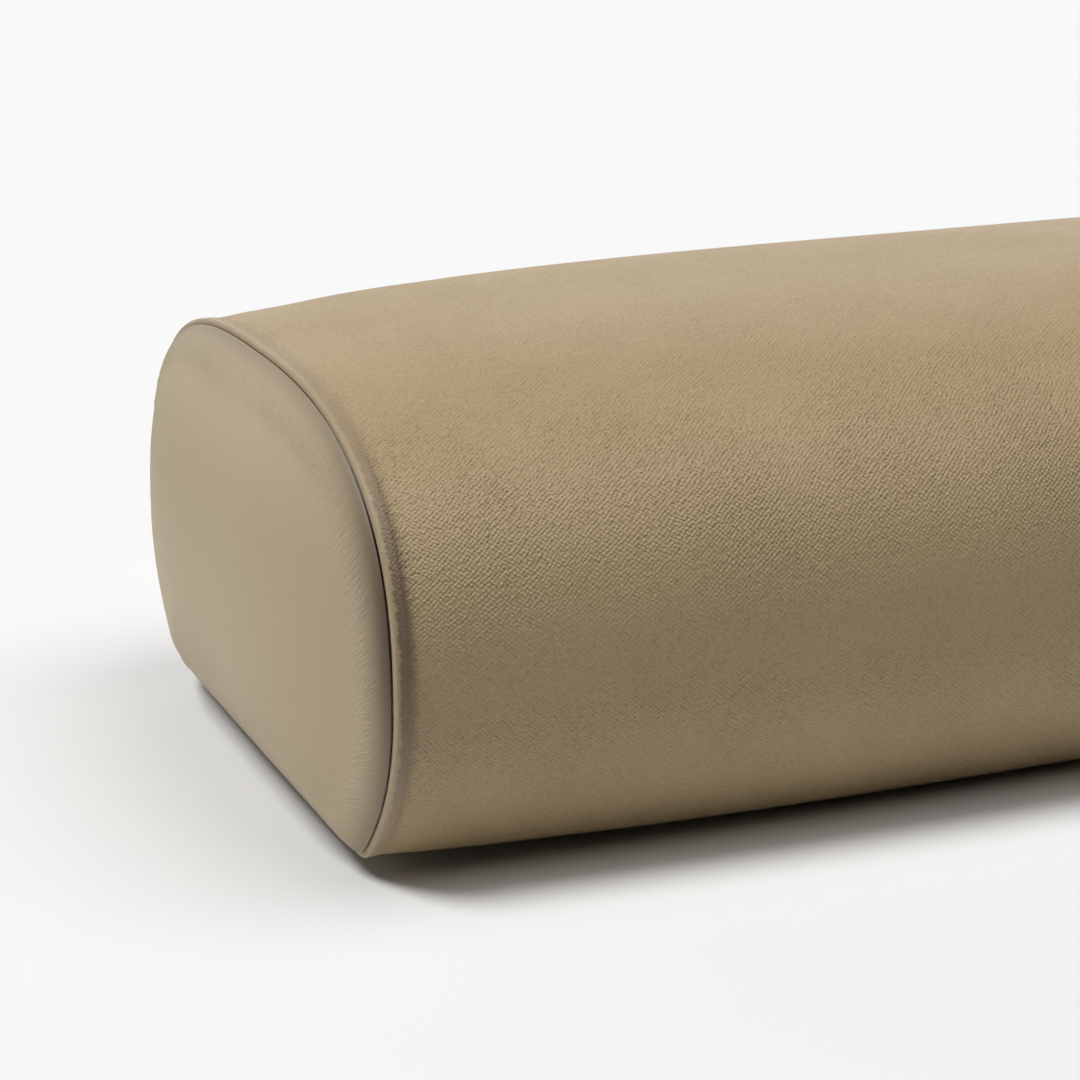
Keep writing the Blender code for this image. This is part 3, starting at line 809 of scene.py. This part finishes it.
def superOval(halfA, halfB, power=4.0, count=40, middle=(0, 0)):
    # a = halfA * sign(cos) * |cos|^(2/power), b = halfB * sign(sin) * |sin|^(2/power)
    turn = np.arange(count) / count * 2 * math.pi
    cosine, sine = np.cos(turn), np.sin(turn)
    a = middle[0] + halfA * np.sign(cosine) * abs(cosine) ** (2 / power)
    b = middle[1] + halfB * np.sign(sine) * abs(sine) ** (2 / power)
    return np.column_stack([a, b])


def insetLoop(loop, amount):
    # each point moved inwards, square to the loop, by the amount
    along = np.roll(loop, -1, axis=0) - np.roll(loop, 1, axis=0)
    along /= np.hypot(*along.T)[:, None] + 1e-12
    return loop - amount * np.column_stack([along[:, 1], -along[:, 0]])


def slab(loop, low, high, edge, crown=0.0, steps=4):
    # rings from the middle of the underside, over a quarter-round edge, up and over to the middle of the top
    bend = np.linspace(0, math.pi / 2, steps)
    insets = np.concatenate([edge * (1 - np.sin(bend)), edge * (1 - np.cos(bend))])
    heights = np.concatenate([low + edge * (1 - np.cos(bend)), high - edge * (1 - np.sin(bend))])
    rings = [np.column_stack([insetLoop(loop, i), np.full(len(loop), h)]) for i, h in zip(insets, heights)]
    centre = loop.mean(axis=0)
    inner = rings[-1] * [0.5, 0.5, 1] + np.array([*centre * 0.5, crown * 0.8])
    tip = np.tile([*centre, high + crown], (len(loop), 1))
    base = np.tile([*centre, low], (len(loop), 1))
    return np.stack([base, *rings, inner, tip])


def ringSlab(outer, inner, low, high, edge, steps=4):
    # a flat ring between two loops: its section is a rectangle with quarter-round corners, closed on itself
    bend = np.linspace(0, math.pi / 2, steps)
    rows = []
    for loop, sign in ((outer, 1), (inner, -1)):
        insets = np.concatenate([edge * (1 - np.sin(bend)), edge * (1 - np.cos(bend))])
        heights = np.concatenate([low + edge * (1 - np.cos(bend)), high - edge * (1 - np.sin(bend))])
        loops = [insetLoop(loop, sign * inset) for inset in insets]
        made = [np.column_stack([moved, np.full(len(loop), height)]) for moved, height in zip(loops, heights)]
        rows += made if sign > 0 else made[::-1]
    return np.stack(rows)


def closedPart(name, grid, roundRows=False):
    return tidyMesh(gridMesh(name, grid, roundRows=roundRows, roundColumns=True), outwards=True)


def bar(start, end, radius, sides=14, cap=0.3):
    # a round bar with softly domed ends: radius * (0, 0.75, 1 ... 1, 0.75, 0)
    start, end = np.array(start, dtype=float), np.array(end, dtype=float)
    run = end - start
    length = np.linalg.norm(run)
    run = run / length
    side = np.cross(run, [0.0, 0.0, 1.0] if abs(run[2]) < 0.9 else [1.0, 0.0, 0.0])
    side /= np.linalg.norm(side)
    other = np.cross(run, side)
    turn = np.arange(sides) / sides * 2 * math.pi
    reach = cap * radius
    along = np.array([0, 0, reach, length - reach, length, length])[:, None, None]
    width = radius * np.array([0, 0.78, 1, 1, 0.78, 0])[:, None, None]
    circle = np.cos(turn)[None, :, None] * side + np.sin(turn)[None, :, None] * other
    return start + along * run + width * circle


# finishes of the zip, thread, label and filling
zipColours = {
    "tape": (0.250, 0.180, 0.095, 1),
    "tapeDark": (0.160, 0.112, 0.058, 1),
    "tooth": (0.285, 0.205, 0.110, 1),
    "metal": (0.560, 0.470, 0.340, 1),
    "metalDull": (0.400, 0.320, 0.220, 1),
    "thread": (0.420, 0.315, 0.175, 1),
    "threadDark": (0.270, 0.195, 0.100, 1),
    "label": (0.780, 0.760, 0.710, 1),
    "labelShade": (0.620, 0.595, 0.540, 1),
    "foam": (0.800, 0.700, 0.440, 1),
    "foamShade": (0.640, 0.530, 0.300, 1),
    "fibre": (0.880, 0.870, 0.840, 1),
    "fibreShade": (0.700, 0.690, 0.660, 1),
}


def zipPlace(r):
    # the object's own coordinates turned so that y runs down the flank and z outwards
    slope = math.atan2(zipAcross[2], zipAcross[1])
    return r.parts(r.turned(r.objectPlace(), (-slope, 0, 0)))


def wovenFinish(name, first, second, pitch, height, roughness=0.85):
    # a plain weave: |sin| of the warp where sin * sin is above 0, and of the weft where it is below
    r = Recipe(name)
    x, y, _ = zipPlace(r)
    warp = abs((x * (math.pi / pitch)).sine())
    weft = abs((y * (math.pi / (pitch * 0.7))).sine())
    turns = ((x * (math.pi / pitch)).sine() * (y * (math.pi / (pitch * 0.7))).sine() * 6 + 0.5).limited()
    thread = warp * turns + weft * (1 - turns)
    fuzz = r.noise(r.objectPlace(), 2600.0, 3.0, 0.7)
    colour = r.tint((thread * 0.8 + fuzz * 0.3).limited(), second, first)
    rough = (roughness + (fuzz - 0.5) * 0.15).limited()
    return r.finish({"Base Color": colour, "Roughness": rough}, (thread + fuzz * 0.4) * height)


def toothFinish():
    # moulded plastic: a faint ripple and specks of noise, and patches rubbed lighter
    r = Recipe("zipToothPlastic")
    ripple = r.noise(r.objectPlace(), 900.0, 2.0)
    speck = r.noise(r.objectPlace(), 5200.0, 2.0)
    worn = (r.noise(r.objectPlace(), 240.0, 1.0) * 2.4 - 1.0).limited()
    colour = r.tint(worn * 0.35 + ripple * 0.15, zipColours["tooth"], zipColours["thread"])
    rough = (0.34 + ripple * 0.12 + worn * 0.1).limited()
    return r.finish({"Base Color": colour, "Roughness": rough}, ripple * 0.00005 + speck * 0.00001)


def metalFinish():
    # plated metal: brushed lines along the piece, dull patches, small dents
    r = Recipe("zipMetal")
    x, y, z = zipPlace(r)
    brushed = r.noise(r.together(x * 250.0, y * 9000.0, z * 9000.0), 1.0, 2.0)
    dull = (r.noise(r.objectPlace(), 320.0, 3.0, 0.6) * 2.2 - 0.7).limited()
    colour = r.tint(dull * 0.7, zipColours["metal"], zipColours["metalDull"])
    rough = (0.22 + brushed * 0.14 + dull * 0.18).limited()
    dents = r.noise(r.objectPlace(), 700.0, 1.0)
    height = brushed * 0.000006 + dents * 0.00003
    return r.finish({"Base Color": colour, "Roughness": rough, "Metallic": 1.0}, height)


def threadFinish():
    # spun thread: a slanting twist, |sin(pi (x + 0.8 y + 0.8 z) / pitch)|, with fuzz
    r = Recipe("spunThread")
    x, y, z = zipPlace(r)
    twist = abs(((x + y * 0.8 + z * 0.8) * (math.pi / 0.00042)).sine())
    fuzz = r.noise(r.objectPlace(), 6000.0, 2.0)
    colour = r.tint((twist * 0.8 + fuzz * 0.3).limited(), zipColours["threadDark"], zipColours["thread"])
    return r.finish({"Base Color": colour, "Roughness": (0.62 + fuzz * 0.2).limited()}, twist * 0.00006)


def labelFinish():
    # satin weave with a double line woven round its border, and no lettering
    r = Recipe("wovenLabel")
    across, down, _ = r.parts(r.uv("label"))
    weave = abs((across * 62.0 * math.pi).sine()) * 0.5 + abs((down * 34.0 * math.pi).sine()) * 0.5
    edge = (across.lower(1 - across) * 2.31).lower(down.lower(1 - down))
    border = edge.hump(0.10, 0.018).higher(edge.hump(0.155, 0.010))
    fuzz = r.noise(r.objectPlace(), 3500.0, 3.0)
    colour = r.tint((weave * 0.5 + fuzz * 0.3).limited(), zipColours["label"], zipColours["labelShade"])
    colour = r.tint(border.limited() * 0.85, colour, zipColours["tape"])
    height = (weave + fuzz * 0.5) * 0.00004
    return r.finish({"Base Color": colour, "Roughness": (0.60 + fuzz * 0.2).limited()}, height)


def foamFinish():
    # open foam: small round cells in two sizes, with painted shade where they are deep
    r = Recipe("openFoam")
    place = r.objectPlace()
    small = r.cells(place, 900.0, 1.0)
    large = r.cells(place, 260.0, 1.0)
    deep = (small * 0.8 + large * 0.4).limited()
    patch = r.noise(place, 18.0, 3.0)
    colour = r.tint(deep * 0.8 + patch * 0.2, zipColours["foam"], zipColours["foamShade"])
    return r.finish({"Base Color": colour, "Roughness": (0.86 + patch * 0.1).limited()}, deep * -0.0006)


def fibreFinish():
    # loose wadding: long bent strands of noise at two sizes, and soft lumps
    r = Recipe("looseFibre")
    place = r.objectPlace()
    x, y, z = r.parts(place)
    strands = r.noise(r.together(x * 140.0, y * 1500.0, z * 1500.0), 1.0, 3.0, 0.6, 1.5)
    crossing = r.noise(r.together(x * 1500.0, y * 160.0, z * 160.0), 1.0, 3.0, 0.6, 1.5)
    lumps = r.noise(place, 45.0, 2.0)
    web = (strands * 0.6 + crossing * 0.4).limited()
    colour = r.tint(web, zipColours["fibreShade"], zipColours["fibre"])
    height = web * 0.0007 + lumps * 0.002
    return r.finish({"Base Color": colour, "Roughness": (0.84 + web * 0.12).limited()}, height)


tapeWeave = wovenFinish("tapeWeave", zipColours["tape"], zipColours["tapeDark"], 0.00062, 0.00010)
tabWeave = wovenFinish("tabWeave", zipColours["thread"], zipColours["threadDark"], 0.00090, 0.00014)
toothPlastic, plated, spunThread = toothFinish(), metalFinish(), threadFinish()
wovenLabel, openFoam, looseFibre = labelFinish(), foamFinish(), fibreFinish()

# the tapes, under the cover's folded edges, and the guards: the tape runs on in one piece behind each end
# of the opening, where the cover's edges draw together
tape = {"near": 0.0006, "far": 0.013, "depth": 0.0016, "wall": 0.0007, "end": window["end"] - 0.0005}
guard = {"gap": 0.0003, "past": 0.003, "half": 0.010}


def tapePiece(name, x, across, turned, stands=()):
    # the skin, tape depth under it, over x along and a distance across from the zip's middle
    points = skin(x[:, None], zipU + across[None, :] / halfPerimeter, -tape["depth"])
    piece = addPiece(name, gridMesh(name, points, turned=turned), tapeWeave, stands=stands)
    giveWall(piece, tape["wall"])


tapeX = np.linspace(-tape["end"], tape["end"], 180)
for name, side, stands in (("zipTapeUpper", -1, "zip_tape_upper"), ("zipTapeLower", 1, "zip_tape_lower")):
    tapePiece(name, tapeX, side * np.linspace(tape["near"], tape["far"], 14), side > 0, [stands])
guardX = np.linspace(tape["end"] + guard["gap"], window["end"] + window["taper"] + guard["past"], 12)
for name, side in (("zipGuardLeft", -1), ("zipGuardRight", 1)):
    tapePiece(name, side * guardX, np.linspace(-guard["half"], guard["half"], 16), side > 0)

# the teeth: a rounded head past the middle, a neck, and a foot on the cord
tooth = {
    "b": [2.95, 2.95, 2.3, 1.3, 0.5, -0.1, -0.7, -1.1, -1.1],
    "halfWidth": [0, 0.70, 0.78, 0.62, 0.56, 0.66, 0.80, 0.48, 0],
    "halfHeight": [0, 0.60, 0.80, 0.80, 0.74, 0.78, 0.80, 0.46, 0],
    "middle": -0.00036,
    "ring": (3.2, 8),  # how square each ring is, and its points
}


def toothRow(name, side, shift, stands):
    # rings carried along b, each a superellipse, halfWidth * |cos|^(2/power) by halfHeight * |sin|^(2/power)
    ring = superOval(1, 1, *tooth["ring"])
    widths, heights = (np.array(tooth[key])[:, None] / 1000 for key in ("halfWidth", "halfHeight"))
    b = side * np.array(tooth["b"])[:, None] / 1000 + 0 * ring[:, 0]
    shape = np.stack([widths * ring[:, 0], b, heights * ring[:, 1] + tooth["middle"]], axis=-1)
    count = int((2 * zipSizes["combEnd"] - 2 * zipSizes["toothPitch"]) / zipSizes["toothPitch"])
    places = (np.arange(count) - (count - 1) / 2) * zipSizes["toothPitch"] + shift
    grids = np.repeat(shape[None], count, axis=0)
    grids[..., 0] += places[:, None, None]
    addPiece(name, copiesMesh(name, atZip(grids)), toothPlastic, stands=[stands])
    cordB, cordC = zipSizes["cordPlace"]
    start, end = ((x, side * cordB, cordC) for x in (-zipSizes["combEnd"], zipSizes["combEnd"]))
    cord = bar(start, end, zipSizes["cordRadius"])
    addPiece(name.replace("Teeth", "Cord"), closedPart(name + "Cord", atZip(cord)), spunThread)


toothRow("zipTeethUpper", -1, -zipSizes["toothPitch"] / 4, "zip_teeth_upper")
toothRow("zipTeethLower", 1, zipSizes["toothPitch"] / 4, "zip_teeth_lower")

# the stops: small clips with rounded edges
stop = {
    "start": 0.2041,
    "length": 0.0030,
    "reach": 0.0028,
    "gap": 0.0004,
    "slab": (-0.0012, 0.0008, 0.00035),  # low, high, edge
}
for name, stands, side, near in (
    ("zipTopStopUpper", "zip_top_stop_upper", -1, stop["gap"]),
    ("zipTopStopLower", "zip_top_stop_lower", 1, stop["gap"]),
    ("zipBottomStop", "zip_bottom_stop", 0, 0),
):
    middleB = side * (stop["reach"] + near) / 2
    halfB = (stop["reach"] - near) / 2 if side else stop["reach"]
    middleA = (stop["start"] + stop["length"] / 2) * (1 if side else -1)
    loop = superOval(stop["length"] / 2, halfB, 6.0, 36, (middleA, middleB))
    mesh = closedPart(name, atZip(slab(loop, *stop["slab"])))
    addPiece(name, mesh, plated, stands=[stands])

# the woven tabs that close each end of the window
tab = {"from": 0.2075, "to": 0.2245, "half": 0.0042, "slab": (-0.0012, -0.0002, 0.0003, 0.0001)}
for name, stands, side in (
    ("zipEndTabLeft", "zip_end_tab_left", -1),
    ("zipEndTabRight", "zip_end_tab_right", 1),
):
    middleA = side * (tab["from"] + tab["to"]) / 2
    loop = superOval((tab["to"] - tab["from"]) / 2, tab["half"], 12.0, 64, (middleA, 0))
    mesh = closedPart(name, atZip(slab(loop, *tab["slab"])))
    addPiece(name, mesh, tabWeave, stands=[stands])

# the slider: a waisted plate with turned-down sides, two lugs and a riveted pin
slider = {
    "length": 0.0095,
    "noseWidth": 0.0040,
    "tailWidth": 0.0037,
    "waist": 0.00018,
    "plate": (0.0009, 0.0021, 0.00042, 0.00012),  # low, high, edge and crown
    "side": (-0.0012, 0.0014, 0.00016),
    "sidePlace": 0.00354,
    "sideHalf": 0.00034,
    "lug": (0.0016, 0.0024, 0.00022),
    "lugHalf": (0.0019, 0.0016),
    "lugHeight": 0.0035,
    "lugFlare": 0.35,
    "pinRadius": 0.0006,
    "pinEnd": 0.0022,
    "headRadius": 0.00095,
    "headEnd": 0.00275,
}


def sliderLoop():
    # a superellipse, its half width eased from tail to nose and drawn in by a bell in the middle
    loop = superOval(slider["length"] / 2, 1.0, 4.5, 56)
    widening = slider["noseWidth"] - slider["tailWidth"]
    widths = slider["tailWidth"] + widening * smooth(loop[:, 0], -0.002, 0.004)
    loop[:, 1] *= widths - slider["waist"] * bell(loop[:, 0], -0.0008, 0.0014)
    return loop


def onSlider(name, grid):
    return closedPart(name, atZip(grid, (sliderX, 0, 0)))


sliderParts = [onSlider("plate", slab(sliderLoop(), *slider["plate"]))]
for side in (-1, 1):
    sidePlace = (0, side * slider["sidePlace"])
    wallLoop = superOval(slider["length"] / 2 - 0.0003, slider["sideHalf"], 5.0, 40, sidePlace)
    sliderParts.append(onSlider("side", slab(wallLoop, *slider["side"])))
    ear = superOval(*slider["lugHalf"], 2.6, 40, (0, slider["lugHeight"]))
    ear[:, 0] *= 1 + slider["lugFlare"] * smooth(-ear[:, 1], -0.0034, -0.0020)
    lug = slab(ear, *slider["lug"])[..., [0, 2, 1]] * [1, side, 1]
    sliderParts.append(onSlider("lug", lug))
    start, end = ((0, side * reach, zipSizes["pinHeight"]) for reach in (slider["pinEnd"], slider["headEnd"]))
    sliderParts.append(onSlider("head", bar(start, end, slider["headRadius"], 20, 0.35)))
start, end = ((0, reach, zipSizes["pinHeight"]) for reach in (-slider["pinEnd"], slider["pinEnd"]))
sliderParts.append(onSlider("pin", bar(start, end, slider["pinRadius"], 20)))
addPiece("zipSlider", joinMeshes("zipSlider", sliderParts), plated, "slider", ["zip_slider"])

# the pull: a collar on the pin and a paddle with a raised rim and a ring round its end
pull = {
    "length": 0.026,
    "half": 0.0033,
    "neck": 0.0012,
    "start": 0.0011,
    "flare": (0.0050, 0.0085),
    "halfThickness": 0.0006,
    "paddle": (0.0003, 0.72, 0.0002),  # inset, share of the thickness and edge
    "rim": (0.00075, 1.0, 0.00018),
    "boss": (0.0006, 0.95, 0.00015),
    "bossHalf": (0.0042, 0.0017),
    "bossPlace": (-0.0188, 0),
    "collarRadius": 0.00125,
    "collarHalf": (0.00035, 0.00117),
}


def pullLoop(inset=0.0, count=96):
    # half width over the distance from the pin: a narrow neck, a smooth flare, and a round end,
    # half * sqrt(1 - t^2)
    part = np.arange(count) / count * 2
    place = np.where(part < 1, part, 2 - part)
    along = pull["start"] + (pull["length"] - pull["start"]) * (1 - np.cos(place * math.pi)) / 2
    width = pull["neck"] + (pull["half"] - pull["neck"]) * smooth(along, *pull["flare"])
    ending = np.clip((along - (pull["length"] - pull["half"])) / pull["half"], 0, 1)
    width = width * np.sqrt(np.clip(1 - ending**2, 0, 1))
    loop = np.column_stack([-along, np.where(part < 1, -1, 1) * width])
    return insetLoop(loop, inset) if inset else loop


def onPin(name, grid, roundRows=True):
    return closedPart(name, atZip(grid, (sliderX, 0, zipSizes["pinHeight"])), roundRows=roundRows)


def pullRing(name, loop, inner, share, edge):
    half = pull["halfThickness"] * share
    return onPin(name, ringSlab(loop, inner, -half, half, edge))


# the collar: a rounded section turned about the pin, (r cos, b, r sin)
turn = np.arange(36) / 36 * 2 * math.pi
section = superOval(*pull["collarHalf"], 5.0, 24, (pull["collarRadius"], 0))
ringA, ringB = section[:, :1], section[:, 1:]
collar = np.stack([ringA * np.cos(turn), ringB + 0 * turn, ringA * np.sin(turn)], axis=-1)
inset, share, edge = pull["paddle"]
paddle = slab(pullLoop(inset), -pull["halfThickness"] * share, pull["halfThickness"] * share, edge)
rimInset, rimShare, rimEdge = pull["rim"]
bossInset, bossShare, bossEdge = pull["boss"]
boss = superOval(*pull["bossHalf"], 3.0, 60, pull["bossPlace"])
pullParts = [
    onPin("collar", collar),
    onPin("paddle", paddle, roundRows=False),
    pullRing("rim", pullLoop(), pullLoop(rimInset), rimShare, rimEdge),
    pullRing("boss", boss, insetLoop(boss, bossInset), bossShare, bossEdge),
]
addPiece("zipPull", joinMeshes("zipPull", pullParts), plated, "pull", ["zip_pull"])
print("zip built")

# stitching and label
stitch = {"length": 0.0027, "pitch": 0.0036, "radius": 0.00026, "arch": 0.00010, "from": 0.007, "lift": 0.00006}
label = {
    "middle": 0.150,
    "width": 0.030,
    "length": 0.013,
    "fromEdge": 0.0009,
    "lift": 0.00055,
    "curl": 0.0009,
    "tuck": (0.0004, 0.06),
    "wall": 0.00035,
    "grid": (40, 24),
}


def stitches(side):
    # capsules on the skin: radius * sqrt(1 - (2t)^6) round a low arch, t from -1/2 to 1/2 along each,
    # lifted over the label where they cross it
    centreX = np.arange(-seamX + stitch["from"], seamX - stitch["from"], stitch["pitch"])
    t = np.array([-0.5, -0.47, -0.3, 0.0, 0.3, 0.47, 0.5])[None, :]
    x = centreX[:, None] + t * stitch["length"]
    u = zipU + side * (windowHalf(x) + stitchLine["fromFold"] / halfPerimeter)
    overLabel = (side > 0) * (abs(x - label["middle"]) < label["width"] / 2)
    raised = stitch["lift"] - stitchLine["sink"] + (label["lift"] + label["wall"]) * overLabel * 1.15
    centre = softSkin(x, u, raised + stitch["arch"] * (1 - (2 * t) ** 2))
    _, _, normalY, normalZ = onOutline(u)
    radius = stitch["radius"] * np.sqrt(np.clip(1 - (2 * t) ** 6, 0, 1)) + 0 * x
    turn = np.arange(7) / 7 * 2 * math.pi
    outward = np.cos(turn) * radius[..., None]
    sideways = np.sin(turn) * radius[..., None]
    y = centre[..., 1, None] + outward * normalY[..., None] + sideways * normalZ[..., None]
    z = centre[..., 2, None] + outward * normalZ[..., None] - sideways * normalY[..., None]
    return copiesMesh("row", np.stack([centre[..., 0, None] + 0 * y, y, z], axis=-1))


addPiece("zipStitches", joinMeshes("zipStitches", [stitches(-1), stitches(1)]), spunThread)

# the label: caught under the zip's lower fold and hanging down the flank; its lift grows as curl * down^2
across, down = np.meshgrid(*(np.linspace(0, 1, count) for count in label["grid"]), indexing="ij")
labelX = label["middle"] + (across - 0.5) * label["width"]
labelArc = window["half"] + label["fromEdge"] + down * label["length"]
tuckDepth, tuckRun = label["tuck"]
lift = label["lift"] + label["curl"] * down**2 * (0.6 + 0.4 * np.cos(across * 5.3))
lift = lift - tuckDepth * (1 - smooth(down, 0, tuckRun))
labelPoints = skin(labelX, zipU + labelArc / halfPerimeter, lift)
labelMesh = gridMesh("careLabel", labelPoints, uvMaps={"label": np.stack([across, down], -1)}, turned=True)
careLabel = addPiece("careLabel", labelMesh, wovenLabel, stands=["care_label"])
giveWall(careLabel, label["wall"], offset=1)
print("stitched")

# inside: foam and wadding
inside = {
    "foam_core": openFoam,
    "fibre_wrap": looseFibre,
    "fibre_end_left": looseFibre,
    "fibre_end_right": looseFibre,
}
for nodeName, finish in inside.items():
    mesh = frame["nodes"][nodeName].data
    mesh.materials.clear()
    mesh.materials.append(finish)
print("filling finished")

# floor, light and camera
studio = {
    "floorHalf": 60.0,
    "floorColour": (0.640, 0.640, 0.640, 1),
    "floorNear": (0.80, 0.80, 0.80, 1),  # how much light it throws back on the pillow, near it and further off
    "floorFar": (0.22, 0.22, 0.22, 1),
    "floorReach": (0.28, 0.50),
    "sky": 0.02,
    "backGlow": 1.7,  # a bright wall behind the pillow, which gives its top a sheen
    "overheadGlow": 3.3,  # a soft box above the front right
    "pale": 0.913,  # the backdrop, as the camera sees it
    "boxTowards": (0.38, -0.20, 0.903),
    "sunFrom": (-0.52, -0.04, 1.0),
    "sunStrength": 3.0,
    "sunSpread": 20,
}
floorCorners = np.array([[[-1, -1, 0], [1, -1, 0]], [[-1, 1, 0], [1, 1, 0]]])
floorMesh = gridMesh("floor", floorCorners * studio["floorHalf"])
floorRecipe = Recipe("paleFloor")
alongFloor, acrossFloor, _ = floorRecipe.parts(floorRecipe.objectPlace())
pastEnd = (abs(alongFloor) - seamX).higher(0.0)
fromPillow = (pastEnd * pastEnd + acrossFloor * acrossFloor) ** 0.5
thrown = floorRecipe.tint(ease(fromPillow, *studio["floorReach"]), studio["floorNear"], studio["floorFar"])
floorSeen = floorRecipe.node("LightPath", {}, {}, "Is Camera Ray")
floorTone = floorRecipe.tint(floorSeen, thrown, studio["floorColour"])
floorSockets = {"Base Color": floorTone, "Roughness": 0.9, "Specular IOR Level": 0.0}
floorMesh.materials.append(floorRecipe.finish(floorSockets))
floor = bpy.data.objects.new("floor", floorMesh)
bpy.context.scene.collection.objects.link(floor)

sun = bpy.data.lights.new("keyBox", "SUN")
sun.energy = studio["sunStrength"]
sun.angle = math.radians(studio["sunSpread"])
sunObject = bpy.data.objects.new("keyBox", sun)
sunObject.rotation_euler = Vector(studio["sunFrom"]).to_track_quat("Z", "Y").to_euler()
bpy.context.scene.collection.objects.link(sunObject)


class WorldRecipe(Recipe):
    # the studio's surroundings, made of the same nodes
    def __init__(self, name):
        self.world = bpy.data.worlds.new(name)
        self.world.use_nodes = True
        self.tree = self.world.node_tree
        self.tree.nodes.clear()


surroundings = WorldRecipe("studio")
towards = surroundings.node("TexCoord", {}, {}, "Generated")
skyX, skyY, skyZ = surroundings.parts(towards)
boxX, boxY, boxZ = studio["boxTowards"]
backWall = ease(skyY, 0.15, 0.75) * (1 - ease(skyZ, 0.32, 0.60))
box = ease(skyX * boxX + skyY * boxY + skyZ * boxZ, 0.86, 0.97)
glow = backWall * studio["backGlow"] + box * studio["overheadGlow"] + studio["sky"]
lit = surroundings.node("Background", {}, {"Strength": glow, "Color": (1, 1, 1, 1)})
seen = surroundings.node("Background", {}, {"Strength": studio["pale"], "Color": (1, 1, 1, 1)})
isView = surroundings.node("LightPath", {}, {}, "Is Camera Ray")
mixed = surroundings.node("MixShader", {}, {0: isView, 1: lit, 2: seen})
surroundings.node("OutputWorld", {}, {"Surface": mixed})
bpy.context.scene.world = surroundings.world

view = {
    "azimuth": -22.786,
    "elevation": 17.147,
    "distance": 0.8179,
    "aim": (-0.25418, -0.08894, 0.09744),
    "lens": 93.526,
}
azimuth, elevation = math.radians(view["azimuth"]), math.radians(view["elevation"])
level = math.cos(elevation)
back = Vector((math.sin(azimuth) * level, -math.cos(azimuth) * level, math.sin(elevation)))
camera = bpy.data.objects.new("camera", bpy.data.cameras.new("camera"))
camera.data.lens = view["lens"]
camera.data.sensor_width = 36
camera.data.clip_start, camera.data.clip_end = 0.01, 200
camera.location = Vector(view["aim"]) + back * view["distance"]
camera.rotation_euler = back.to_track_quat("Z", "Y").to_euler()
bpy.context.scene.collection.objects.link(camera)
bpy.context.scene.camera = camera
bpy.context.scene.view_settings.view_transform = "Standard"
print("studio lit")
